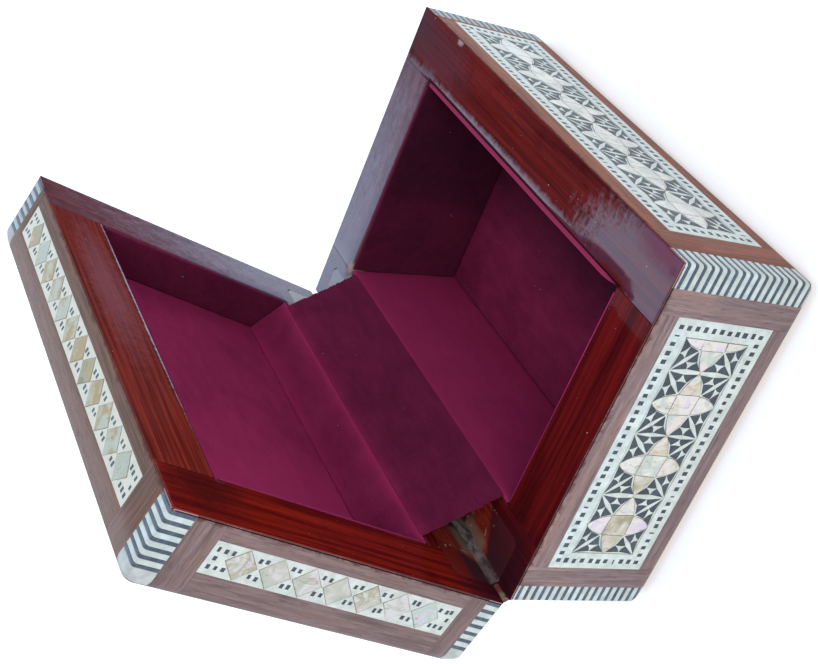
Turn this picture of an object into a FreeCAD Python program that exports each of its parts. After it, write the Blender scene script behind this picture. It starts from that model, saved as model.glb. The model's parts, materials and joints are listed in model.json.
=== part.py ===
import FreeCAD, Part
import math
import os
from collections import namedtuple

# Small inlaid wooden box with a hinged lid, standing open.
# Millimetres, +Z up. The origin is the centre of the underside, the front faces -Y and the hinge is at +Y.

# Overall sizes of the closed box
box_length = 80.0
box_depth = 54.2
base_height = 23.7
lid_height = 12.4
rim_gap = 0.2
lid_open_deg = 75.0

# Carcass boards
end_wall = 8.2
front_wall = 8.2
back_wall = 8.6
bottom_board = 2.9
top_board = 4.3
finger_count = 3

# Outer skin and its rounded edges
veneer = 0.8
corner_bevel = 0.9
base_edge_round = 2.2
lid_edge_round = 2.2
felt = 0.4
felt_margin = 2.4

# Strips round the upright corners
stripe_leg = 3.6
stripe_leg_back = 2.8
base_stripes = 17
lid_stripes = 7
bone_share = 0.58
base_first_bone = 1.0
lid_first_bone = 0.52
base_stripe_foot = 1.5
lid_stripe_head = 3.2

# Veneer left round the inlay panels
base_margin_left = 8.7
base_margin_right = 4.3
base_margin_front = 7.4
base_margin_back = 6.2
base_margin_rim = 3.5
base_margin_foot = 4.3
lid_margin_left = 8.8
lid_margin_right = 5.5
lid_margin_front = 8.1
lid_margin_back = 5.9
lid_margin_rim = 2.6
lid_margin_head = 4.7
top_margin_end = 11.0
top_margin_side = 8.6

# Inlay inside the panels
border_width = 2.65
cell_length = 10.2
cell_height = 10.4
heart_along = 1.7
heart_across = 1.95
tip_gap = 0.15
lozenge_pitch = 5.0
lozenge_end = 2.5
lozenge_edge = 0.25

# Velvet-covered cards and the strip across the hinge
lining = 0.5
top_lining = 0.6
base_lean = 1.6
lid_lean = 3.0
strip_end_gap = 0.3

# Hinge
hinge_outset = 0.4
pin_radius = 0.45
pin_clearance = 0.04
knuckle_wall = 0.45
knuckle_count = 7
knuckle_gap = 0.1
knuckle_relief = 0.15
leaf_thickness = 0.5
leaf_width = 6.4
leaf_corner = 1.2
leaf_fit = 0.05
hinge_end_gap = 0.1
nail_count = 3
nail_head = 1.6
nail_head_thickness = 0.3
nail_shank = 0.8
nail_length = 5.0
nail_fit = 0.03

# Places worked out from the sizes above
half_length = box_length / 2
half_depth = box_depth / 2
skin_foot = felt
wall_foot = felt + bottom_board
lid_rim = base_height + rim_gap
lid_top = lid_rim + lid_height
lid_skin_top = lid_top - veneer
lid_wall_top = lid_skin_top - top_board
hinge_y = half_depth + hinge_outset
hinge_z = base_height + rim_gap / 2
core_x = half_length - veneer
core_front = -half_depth + veneer
core_back = half_depth - veneer
inner_x = core_x - end_wall
inner_front = core_front + front_wall
inner_back = core_back - back_wall
card_x = inner_x - lining
card_front = inner_front + lining
card_back = inner_back - lining
hinge_half = half_length - stripe_leg - hinge_end_gap
knuckle_radius = pin_radius + pin_clearance + knuckle_wall
relief_radius = knuckle_radius + knuckle_relief
leaf_back = hinge_y - relief_radius
leaf_front = leaf_back - leaf_width
nail_y = leaf_back - leaf_width / 2
x_axis = FreeCAD.Vector(1, 0, 0)
y_axis = FreeCAD.Vector(0, 1, 0)
z_axis = FreeCAD.Vector(0, 0, 1)
origin = FreeCAD.Vector(0, 0, 0)

base_nodes = {}
lid_nodes = {}


def block(x0, x1, y0, y1, z0, z1):
    """A box between two corners."""
    return Part.makeBox(x1 - x0, y1 - y0, z1 - z0, FreeCAD.Vector(x0, y0, z0))


def prism(points, direction):
    """A closed polygon pushed along a direction."""
    return Part.Face(Part.makePolygon(points + points[:1])).extrude(direction)


def pushed(edges, direction):
    """A closed outline of lines and arcs pushed along a direction."""
    return Part.Face(Part.Wire(edges)).extrude(direction)


def rod(radius, x0, x1, y, z):
    """A round bar along X."""
    return Part.makeCylinder(radius, x1 - x0, FreeCAD.Vector(x0, y, z), x_axis)


def group(solids):
    """Separate solids of one kind in one node."""
    return Part.makeCompound(solids)


# Rounded envelope of the base and of the lid, which every outer piece is trimmed to

def rounded_profile(half, low, high, radius, to_point, direction):
    """A wall-to-wall profile with both corners at its low end rounded, pushed along a direction."""
    turn = math.copysign(radius, high - low)
    bow = radius * (1 - math.sqrt(0.5))
    bow_v = math.copysign(bow, turn)
    spots = [
        to_point(-half, high),
        to_point(-half, low + turn),
        to_point(-half + bow, low + bow_v),
        to_point(-half + radius, low),
        to_point(half - radius, low),
        to_point(half - bow, low + bow_v),
        to_point(half, low + turn),
        to_point(half, high),
    ]
    edges = [
        Part.makeLine(spots[0], spots[1]),
        Part.Arc(spots[1], spots[2], spots[3]).toShape(),
        Part.makeLine(spots[3], spots[4]),
        Part.Arc(spots[4], spots[5], spots[6]).toShape(),
        Part.makeLine(spots[6], spots[7]),
        Part.makeLine(spots[7], spots[0]),
    ]
    return pushed(edges, direction)


def is_upright(edge):
    """Whether a straight edge runs along Z."""
    return abs(edge.tangentAt(edge.FirstParameter).z) > 0.9


def envelope(edge_z, open_z, radius):
    """The outside form of one half of the box: bevelled upright corners and one ring of rounded edges."""
    low, high = sorted((edge_z, open_z))
    upright = block(-half_length, half_length, -half_depth, half_depth, low, high)
    corners = [edge for edge in upright.Edges if is_upright(edge)]
    upright = upright.makeChamfer(corner_bevel, corners)
    across = rounded_profile(
        half_length, edge_z, open_z, radius,
        lambda u, v: FreeCAD.Vector(u, -half_depth, v), FreeCAD.Vector(0, box_depth, 0))
    along = rounded_profile(
        half_depth, edge_z, open_z, radius,
        lambda u, v: FreeCAD.Vector(-half_length, u, v), FreeCAD.Vector(box_length, 0, 0))
    return upright.common(across).common(along)


base_envelope = envelope(skin_foot, base_height, base_edge_round)
lid_envelope = envelope(lid_top, lid_rim, lid_edge_round)


def trimmed(solids, outside):
    """Each solid cut to the rounded outside form."""
    return [piece for solid in solids for piece in solid.common(outside).Solids]


# Hinge: two leaves with knuckles on one pin, let into the back rims

def knuckle_spans(first):
    """The X spans of every second knuckle, starting with the given one."""
    step = 2 * hinge_half / knuckle_count
    starts = [-hinge_half + step * index for index in range(first, knuckle_count, 2)]
    return [(start + knuckle_gap / 2, start + step - knuckle_gap / 2) for start in starts]


def nail_spots():
    """The X of each nail, evenly spread along a leaf."""
    step = 2 * hinge_half / nail_count
    return [-hinge_half + step * (index + 0.5) for index in range(nail_count)]


def square_bar(x, width, z0, z1):
    """An upright square bar on the line of the nails."""
    return block(x - width / 2, x + width / 2, nail_y - width / 2, nail_y + width / 2, z0, z1)


def nail(x, grow):
    """A square cut nail, driven flush into the base leaf and rim, or the hole for it."""
    head = square_bar(x, nail_head + 2 * grow, base_height - nail_head_thickness, base_height)
    shank = square_bar(x, nail_shank + 2 * grow, base_height - nail_length - grow, base_height)
    return head.fuse(shank).removeSplitter()


def leaf_outline(grow):
    """The flat of a leaf, with its two front corners rounded, or the recess for it."""
    left = -hinge_half - grow
    right = hinge_half + grow
    front = leaf_front - grow
    plate = block(left, right, front, hinge_y, base_height - leaf_thickness, base_height)
    corners = [edge for edge in plate.Edges if is_upright(edge) and edge.CenterOfMass.y < leaf_back]
    return plate.makeFillet(leaf_corner, corners)


def base_side_leaf(first):
    """A leaf that lies in the base rim, with its own knuckles and gaps for the other leaf's."""
    barrel_room = rod(relief_radius, -half_length, half_length, hinge_y, hinge_z)
    leaf = leaf_outline(0).cut(barrel_room)
    for x0, x1 in knuckle_spans(first):
        web = block(x0, x1, leaf_back - leaf_thickness, hinge_y, base_height - leaf_thickness, base_height)
        leaf = leaf.fuse(rod(knuckle_radius, x0, x1, hinge_y, hinge_z)).fuse(web)
    bore = rod(pin_radius + pin_clearance, -half_length, half_length, hinge_y, hinge_z)
    past_pin = block(-half_length, half_length, hinge_y, hinge_y + relief_radius, 0, base_height)
    over = rod(knuckle_radius, -half_length, half_length, hinge_y, hinge_z)
    leaf = leaf.cut(bore).cut(past_pin.cut(over))
    for x in nail_spots():
        leaf = leaf.cut(nail(x, nail_fit))
    return leaf.removeSplitter()


def over_hinge(shape):
    """The same piece on the lid side: mirrored in the plane between the closed rims."""
    return shape.mirror(FreeCAD.Vector(0, 0, hinge_z), z_axis)


def rim_recess():
    """What the hinge takes out of the base rim: leaf, barrel and nail holes."""
    barrel_room = rod(relief_radius, -hinge_half - leaf_fit, hinge_half + leaf_fit, hinge_y, hinge_z)
    recess = leaf_outline(leaf_fit).fuse(barrel_room)
    for x in nail_spots():
        recess = recess.fuse(nail(x, nail_fit))
    return recess


base_recess = rim_recess()
lid_recess = over_hinge(base_recess)
base_nodes["hinge_base_leaf"] = base_side_leaf(0)
base_nodes["hinge_pin"] = rod(pin_radius, -hinge_half, hinge_half, hinge_y, hinge_z)
base_nodes["hinge_base_nails"] = group([nail(x, 0) for x in nail_spots()])
lid_nodes["hinge_lid_leaf"] = over_hinge(base_side_leaf(1))
lid_nodes["hinge_lid_nails"] = group([over_hinge(nail(x, 0)) for x in nail_spots()])


# Walls of the base, finger jointed: the long walls own the outer fingers, the end walls the ones between

def finger_bands():
    """The Z span of each finger up the base wall."""
    step = (base_height - wall_foot) / finger_count
    return [(wall_foot + step * index, wall_foot + step * (index + 1)) for index in range(finger_count)]


def long_wall(y0, y1):
    """A front or back wall of the base, notched for the end walls' fingers."""
    wall = block(-core_x, core_x, y0, y1, wall_foot, base_height)
    for z0, z1 in finger_bands()[1::2]:
        for x0, x1 in ((-core_x, -inner_x), (inner_x, core_x)):
            wall = wall.cut(block(x0, x1, y0, y1, z0, z1))
    return wall


def short_wall(x0, x1):
    """An end wall of the base with a finger into the front and the back wall."""
    wall = block(x0, x1, inner_front, inner_back, wall_foot, base_height)
    for z0, z1 in finger_bands()[1::2]:
        wall = wall.fuse(block(x0, x1, core_front, core_back, z0, z1))
    return wall.removeSplitter()


base_nodes["base_front_wall"] = long_wall(core_front, inner_front)
base_nodes["base_back_wall"] = long_wall(inner_back, core_back).cut(base_recess)
base_nodes["base_left_wall"] = short_wall(-core_x, -inner_x).cut(base_recess)
base_nodes["base_right_wall"] = short_wall(inner_x, core_x).cut(base_recess)

# Walls of the lid, sawn from the same box one finger higher, so here the end walls run through
lid_back_board = block(-inner_x, inner_x, inner_back, core_back, lid_rim, lid_wall_top)
lid_end_board = block(inner_x, core_x, core_front, core_back, lid_rim, lid_wall_top).cut(lid_recess)
lid_nodes["lid_front_wall"] = block(-inner_x, inner_x, core_front, inner_front, lid_rim, lid_wall_top)
lid_nodes["lid_back_wall"] = lid_back_board.cut(lid_recess)
lid_nodes["lid_left_wall"] = lid_end_board.mirror(origin, x_axis)
lid_nodes["lid_right_wall"] = lid_end_board

# Bottom board with its felt, and the top board of the lid
bottom = block(-core_x, core_x, core_front, core_back, skin_foot, wall_foot)
base_nodes["base_bottom_board"] = bottom.common(base_envelope)
base_nodes["base_bottom_felt"] = block(
    -core_x + felt_margin, core_x - felt_margin, core_front + felt_margin, core_back - felt_margin, 0, felt)
top = block(-core_x, core_x, core_front, core_back, lid_wall_top, lid_skin_top)
lid_nodes["lid_top_board"] = top.common(lid_envelope)

# Outer faces: each is drawn flat, u along it, v up it and w out of it, then laid in place
Side = namedtuple("Side", "name along up out reach")
front_side = Side("front", x_axis, z_axis, -y_axis, half_depth)
back_side = Side("back", -x_axis, z_axis, y_axis, half_depth)
left_side = Side("left", -y_axis, z_axis, -x_axis, half_length)
right_side = Side("right", y_axis, z_axis, x_axis, half_length)
top_side = Side("top", x_axis, y_axis, z_axis, lid_top)
upright_sides = (front_side, back_side, left_side, right_side)


def laid(shape, side):
    """A flat drawing carried to its side of the box."""
    place = side.out * side.reach
    matrix = FreeCAD.Matrix(
        side.along.x, side.up.x, side.out.x, place.x,
        side.along.y, side.up.y, side.out.y, place.y,
        side.along.z, side.up.z, side.out.z, place.z,
        0, 0, 0, 1)
    return shape.transformed(matrix)


def tile(corners):
    """A flat piece of the skin with the given (u, v) corners, as thick as the veneer."""
    return prism([FreeCAD.Vector(u, v, 0) for u, v in corners], FreeCAD.Vector(0, 0, -veneer))


def strip(u0, u1, v0, v1):
    """A straight-sided piece of the skin."""
    return tile([(u0, v0), (u1, v0), (u1, v1), (u0, v1)])


def spans(side, low_x, high_x, low_y, high_y):
    """A world range along the side, as low and high u."""
    if side.along.x:
        ends = (low_x * side.along.x, high_x * side.along.x)
    else:
        ends = (low_y * side.along.y, high_y * side.along.y)
    return min(ends), max(ends)


def framed_veneer(face, window):
    """Four strips of veneer round a window: the upright ones run the whole height."""
    u0, u1, v0, v1 = face
    a0, a1, b0, b1 = window
    return [strip(u0, a0, v0, v1), strip(a1, u1, v0, v1), strip(a0, a1, v0, b0), strip(a0, a1, b1, v1)]


# Corner strips: bone and dark wood stacked in turn round each upright corner

def corner_strip(leg_x, leg_y, z0, z1):
    """An L-shaped strip round the corner at +X +Y, bevelled outside."""
    spots = [
        FreeCAD.Vector(half_length - leg_x, half_depth, z0),
        FreeCAD.Vector(half_length - corner_bevel, half_depth, z0),
        FreeCAD.Vector(half_length, half_depth - corner_bevel, z0),
        FreeCAD.Vector(half_length, half_depth - leg_y, z0),
        FreeCAD.Vector(core_x, half_depth - leg_y, z0),
        FreeCAD.Vector(core_x, core_back, z0),
        FreeCAD.Vector(half_length - leg_x, core_back, z0),
    ]
    return prism(spots, FreeCAD.Vector(0, 0, z1 - z0))


def round_corners(z0, z1):
    """The same strip at all four corners: the back ones have a shorter leg on the end faces."""
    back = corner_strip(stripe_leg, stripe_leg_back, z0, z1)
    front = corner_strip(stripe_leg, stripe_leg, z0, z1).mirror(origin, y_axis)
    return [back, front, back.mirror(origin, x_axis), front.mirror(origin, x_axis)]


def stacked(rim, far, count, first):
    """Z spans of the bone strips and of the dark strip after each, from the rim to the far end.

    The first bone strip was cut down with the rim, and only its given share is left.
    """
    lost = bone_share * (1 - first)
    pitch = (far - rim) / (count - lost)
    starts = [rim + pitch * (index - lost) for index in range(count)]
    dark = [(start + pitch * bone_share, start + pitch) for start in starts]
    bone = [(start, start + pitch * bone_share) for start in starts]
    bone[0] = (rim, bone[0][1])
    return bone, dark


def corner_stack(layers, outside, edge_z, radius):
    """All strips of one colour, with those at the rounded edge trimmed to it."""
    solids = []
    for ends in layers:
        z0, z1 = sorted(ends)
        ring = round_corners(z0, z1)
        near_edge = min(abs(z0 - edge_z), abs(z1 - edge_z)) < radius
        solids += trimmed(ring, outside) if near_edge else ring
    return group(solids)


base_stripe_end = skin_foot + base_stripe_foot
lid_stripe_end = lid_top - lid_stripe_head
bone, dark = stacked(base_height, base_stripe_end, base_stripes, base_first_bone)
base_nodes["base_corner_bone_strips"] = corner_stack(bone, base_envelope, skin_foot, base_edge_round)
base_nodes["base_corner_dark_strips"] = corner_stack(dark, base_envelope, skin_foot, base_edge_round)
bone, dark = stacked(lid_rim, lid_stripe_end, lid_stripes, lid_first_bone)
lid_nodes["lid_corner_bone_strips"] = corner_stack(bone, lid_envelope, lid_top, lid_edge_round)
lid_nodes["lid_corner_dark_strips"] = corner_stack(dark, lid_envelope, lid_top, lid_edge_round)
base_feet = trimmed(round_corners(skin_foot, base_stripe_end), base_envelope)
lid_caps = trimmed(round_corners(lid_stripe_end, lid_skin_top), lid_envelope)


# Inlay pieces, drawn flat

def flower(u, v, half_u, half_v):
    """Outline of a four-petalled pearl flower: tips on the axes, heart corners between them."""
    tip_u = half_u - tip_gap
    tip_v = half_v - tip_gap
    return [
        (u + tip_u, v), (u + heart_along, v + heart_across),
        (u, v + tip_v), (u - heart_along, v + heart_across),
        (u - tip_u, v), (u - heart_along, v - heart_across),
        (u, v - tip_v), (u + heart_along, v - heart_across),
    ]


def flower_pieces(outline):
    """The heart and the four petals that make up a flower."""
    petals = [tile([outline[index - 1], outline[index], outline[index + 1]]) for index in (0, 2, 4, 6)]
    return [tile(outline[1::2])] + petals


def border(u0, u1, v0, v1):
    """Four mitred bone strips round a field."""
    outer = [(u0, v0), (u1, v0), (u1, v1), (u0, v1)]
    w = border_width
    inner = [(u0 + w, v0 + w), (u1 - w, v0 + w), (u1 - w, v1 - w), (u0 + w, v1 - w)]
    return [tile([outer[k - 1], outer[k], inner[k], inner[k - 1]]) for k in range(4)]


def flower_field(window, columns, rows, start_high):
    """Dark ground with pearl flowers let into it. A half column is cut off at the far end."""
    u0, u1, v0, v1 = window
    field = strip(u0 + border_width, u1 - border_width, v0 + border_width, v1 - border_width)
    half_u = (u1 - u0 - 2 * border_width) / columns / 2
    half_v = (v1 - v0 - 2 * border_width) / rows / 2
    ground = field
    pearl = []
    for column in range(math.ceil(columns)):
        run = half_u * (2 * column + 1)
        u = u1 - border_width - run if start_high else u0 + border_width + run
        for row in range(rows):
            outline = flower(u, v0 + border_width + half_v * (2 * row + 1), half_u, half_v)
            ground = ground.cut(tile(outline))
            pieces = flower_pieces(outline)
            whole = column + 1 <= columns
            pearl += pieces if whole else trimmed(pieces, field)
    return ground, pearl


def lozenge_field(window):
    """Bone ground with a row of pearl lozenges, tip to tip, and bare bone at both ends."""
    u0, u1, v0, v1 = window
    run = u1 - u0 - 2 * lozenge_end
    count = max(1, round(run / lozenge_pitch))
    pitch = run / count
    middle = (v0 + v1) / 2
    ground = strip(u0, u1, v0, v1)
    pearl = []
    for index in range(count):
        u = u0 + lozenge_end + pitch * (index + 0.5)
        reach = pitch / 2 - tip_gap
        low = v0 + lozenge_edge
        high = v1 - lozenge_edge
        piece = tile([(u - reach, middle), (u, low), (u + reach, middle), (u, high)])
        ground = ground.cut(piece)
        pearl.append(piece)
    return ground, pearl


# Skin of the base: veneer, corner feet, borders, grounds and pearl
base_borders = []
base_pearl = []
for side in upright_sides:
    u0, u1 = spans(
        side, -half_length + stripe_leg, half_length - stripe_leg,
        -half_depth + stripe_leg, half_depth - stripe_leg_back)
    a0, a1 = spans(
        side, -half_length + base_margin_left, half_length - base_margin_right,
        -half_depth + base_margin_front, half_depth - base_margin_back)
    face = (u0, u1, skin_foot, base_height)
    window = (a0, a1, base_margin_foot, base_height - base_margin_rim)
    pieces = [laid(piece, side) for piece in framed_veneer(face, window)]
    pieces = trimmed(pieces, base_envelope)
    if side is back_side:
        pieces = [piece.cut(base_recess) for piece in pieces]
    if side.along.y:
        pieces += [foot for foot in base_feet if foot.CenterOfMass.x * side.out.x > 0]
    base_nodes["base_" + side.name + "_veneer"] = group(pieces)
    cells = (a1 - a0 - 2 * border_width) / cell_length
    columns = max(1, round(cells - 0.5)) + 0.5 if side.along.y else max(1, round(cells))
    ground, pearl = flower_field(window, columns, 1, side.along.y > 0)
    base_nodes["base_" + side.name + "_panel"] = laid(ground, side)
    base_borders += [laid(piece, side) for piece in border(*window)]
    base_pearl += [laid(piece, side) for piece in pearl]
base_nodes["base_panel_borders"] = group(base_borders)
base_nodes["base_pearl_flowers"] = group(base_pearl)

# Skin of the lid's sides: veneer, corner caps, bone grounds and pearl lozenges
lid_pearl = []
for side in upright_sides:
    u0, u1 = spans(
        side, -half_length + stripe_leg, half_length - stripe_leg,
        -half_depth + stripe_leg, half_depth - stripe_leg_back)
    a0, a1 = spans(
        side, -half_length + lid_margin_left, half_length - lid_margin_right,
        -half_depth + lid_margin_front, half_depth - lid_margin_back)
    face = (u0, u1, lid_rim, lid_skin_top)
    window = (a0, a1, lid_rim + lid_margin_rim, lid_top - lid_margin_head)
    pieces = [laid(piece, side) for piece in framed_veneer(face, window)]
    pieces = trimmed(pieces, lid_envelope)
    if side is back_side:
        pieces = [piece.cut(lid_recess) for piece in pieces]
    if side.along.y:
        pieces += [cap for cap in lid_caps if cap.CenterOfMass.x * side.out.x > 0]
    lid_nodes["lid_" + side.name + "_veneer"] = group(pieces)
    ground, pearl = lozenge_field(window)
    lid_nodes["lid_" + side.name + "_panel"] = laid(ground, side)
    lid_pearl += [laid(piece, side) for piece in pearl]
lid_nodes["lid_pearl_lozenges"] = group(lid_pearl)

# Top of the lid: veneer frame with a flower panel in it
window = (-half_length + top_margin_end, half_length - top_margin_end,
          -half_depth + top_margin_side, half_depth - top_margin_side)
face = (-half_length, half_length, -half_depth, half_depth)
pieces = [laid(piece, top_side) for piece in framed_veneer(face, window)]
lid_nodes["lid_top_veneer"] = group(trimmed(pieces, lid_envelope))
columns = max(1, round((window[1] - window[0] - 2 * border_width) / cell_length))
rows = max(1, round((window[3] - window[2] - 2 * border_width) / cell_height))
ground, pearl = flower_field(window, columns, rows, False)
lid_nodes["lid_top_panel"] = laid(ground, top_side)
lid_nodes["lid_top_border"] = group([laid(piece, top_side) for piece in border(*window)])
lid_nodes["lid_top_pearl_flowers"] = group([laid(piece, top_side) for piece in pearl])


# Velvet-covered cards: floor or top first, end cards, front card, then the back card that leans inwards

def leaning_card(rim, far, lean):
    """The back card: its rim edge rests against the back wall and its far edge stands off it."""
    section = [
        FreeCAD.Vector(-card_x, inner_back, rim),
        FreeCAD.Vector(-card_x, card_back, rim),
        FreeCAD.Vector(-card_x, card_back - lean, far),
        FreeCAD.Vector(-card_x, inner_back - lean, far),
    ]
    return prism(section, FreeCAD.Vector(2 * card_x, 0, 0))


def cards(nodes, prefix, flat_name, rim, floor, flat, lean):
    """The five cards of one half. The floor sits on the board, and the others stand on it."""
    face = floor + math.copysign(flat, rim - floor)
    low, high = sorted((face, rim))
    flat_low, flat_high = sorted((floor, face))
    nodes[prefix + flat_name] = block(-inner_x, inner_x, inner_front, inner_back, flat_low, flat_high)
    nodes[prefix + "left_lining"] = block(-inner_x, -card_x, inner_front, inner_back, low, high)
    nodes[prefix + "right_lining"] = block(card_x, inner_x, inner_front, inner_back, low, high)
    nodes[prefix + "front_lining"] = block(-card_x, card_x, inner_front, card_front, low, high)
    nodes[prefix + "back_lining"] = leaning_card(rim, face, lean)


cards(base_nodes, "base_", "floor_lining", base_height, wall_foot, lining, base_lean)
cards(lid_nodes, "lid_", "top_lining", lid_rim, lid_wall_top, top_lining, lid_lean)


# Velvet strip stretched from the base card to the lid card, drawn in the open position

def opened(y, z):
    """Where a point of the closed lid goes when the lid is open, at the strip's left end."""
    turn = math.radians(lid_open_deg)
    dy = y - hinge_y
    dz = z - hinge_z
    open_y = hinge_y + dy * math.cos(turn) + dz * math.sin(turn)
    open_z = hinge_z - dy * math.sin(turn) + dz * math.cos(turn)
    return FreeCAD.Vector(-card_x + strip_end_gap, open_y, open_z)


strip_section = [
    FreeCAD.Vector(-card_x + strip_end_gap, inner_back, base_height),
    FreeCAD.Vector(-card_x + strip_end_gap, card_back, base_height),
    opened(card_back, lid_rim),
    opened(inner_back, lid_rim),
]
base_nodes["velvet_hinge_strip"] = prism(strip_section, FreeCAD.Vector(2 * (card_x - strip_end_gap), 0, 0))

# The lid is drawn shut, so it is turned open about the hinge pin, and every piece is written out
hinge_point = FreeCAD.Vector(0, hinge_y, hinge_z)
for shape in lid_nodes.values():
    shape.rotate(hinge_point, x_axis, -lid_open_deg)
os.makedirs("parts", exist_ok=True)
for nodes in (base_nodes, lid_nodes):
    for name, shape in nodes.items():
        shape.exportStep("parts/" + name + ".step")
print(len(base_nodes) + len(lid_nodes), "nodes")
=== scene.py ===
import json
import math
from collections import namedtuple

import bpy
import numpy as np
from mathutils import Matrix, Vector

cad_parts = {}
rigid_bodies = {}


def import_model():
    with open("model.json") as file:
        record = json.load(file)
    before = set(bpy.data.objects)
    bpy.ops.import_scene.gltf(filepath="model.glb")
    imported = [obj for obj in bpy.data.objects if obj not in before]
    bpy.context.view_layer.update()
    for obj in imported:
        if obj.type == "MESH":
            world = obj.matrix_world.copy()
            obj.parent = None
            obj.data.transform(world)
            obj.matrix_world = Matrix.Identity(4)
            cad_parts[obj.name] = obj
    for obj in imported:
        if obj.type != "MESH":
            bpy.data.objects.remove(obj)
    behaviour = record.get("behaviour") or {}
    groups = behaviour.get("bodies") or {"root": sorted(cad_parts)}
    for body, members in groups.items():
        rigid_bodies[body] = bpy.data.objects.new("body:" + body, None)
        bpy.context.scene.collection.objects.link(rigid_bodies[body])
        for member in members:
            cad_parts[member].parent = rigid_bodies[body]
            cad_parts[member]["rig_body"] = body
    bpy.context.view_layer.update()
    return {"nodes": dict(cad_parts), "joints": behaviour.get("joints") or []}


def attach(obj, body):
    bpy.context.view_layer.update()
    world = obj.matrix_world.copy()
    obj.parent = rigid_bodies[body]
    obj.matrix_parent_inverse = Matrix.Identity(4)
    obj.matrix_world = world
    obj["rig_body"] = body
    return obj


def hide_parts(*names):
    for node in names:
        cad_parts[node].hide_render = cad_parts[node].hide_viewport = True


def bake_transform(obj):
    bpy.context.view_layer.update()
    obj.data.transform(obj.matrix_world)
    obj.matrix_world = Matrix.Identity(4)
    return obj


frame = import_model()

# Wall boards: eight boards of red-stained hardwood, finger jointed in the base and butted in the lid.
# Only the rims show. They are varnished to a gloss, and the stain runs out over the edge of the veneer.
# The long boards run through to the corners of the base, and the end boards do so in the lid.

mm = 0.001
hinge = frame["joints"][0]
pin_line = np.array(hinge["pos_m"])
shut_turn = math.radians(-hinge["range_deg"][0])


def turned(spots, angle):
    """Points swung about the hinge pin: y and z turn round the pin by the angle, and x stays."""
    away = spots - pin_line
    y = away[..., 1] * math.cos(angle) - away[..., 2] * math.sin(angle)
    z = away[..., 1] * math.sin(angle) + away[..., 2] * math.cos(angle)
    return pin_line + np.stack([away[..., 0], y, z], axis=-1)


def shut_box(*names):
    """Lowest and highest corner of some nodes, with the lid's nodes turned shut."""
    corners = []
    for name in names:
        node = frame["nodes"][name]
        spots = np.empty(3 * len(node.data.vertices))
        node.data.vertices.foreach_get("co", spots)
        spots = spots.reshape(-1, 3)
        if node["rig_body"] == "lid":
            spots = turned(spots, shut_turn)
        corners += [spots.min(axis=0), spots.max(axis=0)]
    return np.min(corners, axis=0), np.max(corners, axis=0)


def slabs(face, back, between=()):
    """Closed plates from grids of shape (count, rows, columns, 3).

    Columns run along and rows run up, so that along times up points out of the face. The face is joined to
    the back at their edges, by way of the edges of the grids between them.
    """
    count, rows, columns = face.shape[:3]
    cells = np.arange(rows * columns).reshape(rows, columns)
    rim = np.concatenate([cells[0, :-1], cells[:-1, -1], cells[-1, :0:-1], cells[:0:-1, 0]])
    quads = np.stack([cells[:-1, :-1], cells[:-1, 1:], cells[1:, 1:], cells[1:, :-1]], axis=-1)
    quads = quads.reshape(-1, 4)
    flat = [grid.reshape(count, rows * columns, 3) for grid in (face, *between, back)]
    layers = [flat[0]] + [grid[:, rim] for grid in flat[1:-1]] + [flat[-1]]
    starts = np.cumsum([0] + [layer.shape[1] for layer in layers])
    middle = [start + np.arange(len(rim)) for start in starts[1:-2]]
    rings = [rim] + middle + [starts[-2] + rim]
    faces = [quads, starts[-2] + quads[:, ::-1]]
    for upper, lower in zip(rings, rings[1:]):
        faces.append(np.stack([upper, lower, np.roll(lower, -1), np.roll(upper, -1)], axis=-1))
    spots = np.concatenate(layers, axis=1)
    shift = spots.shape[1] * np.arange(count)
    faces = np.concatenate(faces) + shift[:, None, None]
    return spots.reshape(-1, 3), faces.reshape(-1, 4)


def show(name, body, spots, faces, finishes, slot, stands_for=(), grain=None, tone=None, which=None):
    """Puts a mesh into the scene on its body. A piece of the lid is given shut, and is turned open here.

    grain is a UV for each point, tone a number for each point, and which a finish for each face.
    """
    if body == "lid":
        spots = turned(spots, -shut_turn)
    mesh = bpy.data.meshes.new(name)
    mesh.from_pydata(spots, [], faces)
    if grain is not None:
        corners = np.empty(len(mesh.loops), np.int32)
        mesh.loops.foreach_get("vertex_index", corners)
        mesh.uv_layers.new(name="grain").data.foreach_set("uv", grain[corners].astype(np.float32).ravel())
    if tone is not None:
        mesh.attributes.new("tone", "FLOAT", "POINT").data.foreach_set("value", tone.astype(np.float32))
    for finish in finishes:
        mesh.materials.append(finish.material)
    if which is not None:
        mesh.polygons.foreach_set("material_index", which.astype(np.int32))
    mesh.shade_smooth()
    mesh.set_sharp_from_angle(angle=math.radians(35))
    mesh.update()
    piece = bpy.data.objects.new(name, mesh)
    bpy.context.scene.collection.objects.link(piece)
    if body:
        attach(piece, body)
    if stands_for:
        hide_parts(*stands_for)
    return piece


class Value:
    """A value in a finish. Python's operators on it add Math nodes."""

    def __init__(self, finish, socket):
        self.finish = finish
        self.socket = socket

    def math(self, operation, *others):
        """A Math node with this value first."""
        return self.finish.node("Math", {"operation": operation}, dict(enumerate((self, *others))))

    def __add__(self, other):
        return self.math("ADD", other)

    def __sub__(self, other):
        return self.math("SUBTRACT", other)

    def __rsub__(self, other):
        return self.finish.node("Math", {"operation": "SUBTRACT"}, {0: other, 1: self})

    def __mul__(self, other):
        return self.math("MULTIPLY", other)

    __radd__ = __add__
    __rmul__ = __mul__

    def rise(self, low, high):
        """0 below low, 1 above high, and a smooth step between. A low above high turns it round."""
        settings = {"interpolation_type": "SMOOTHSTEP"}
        return self.finish.node("MapRange", settings, {"Value": self, "From Min": low, "From Max": high})


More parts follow.
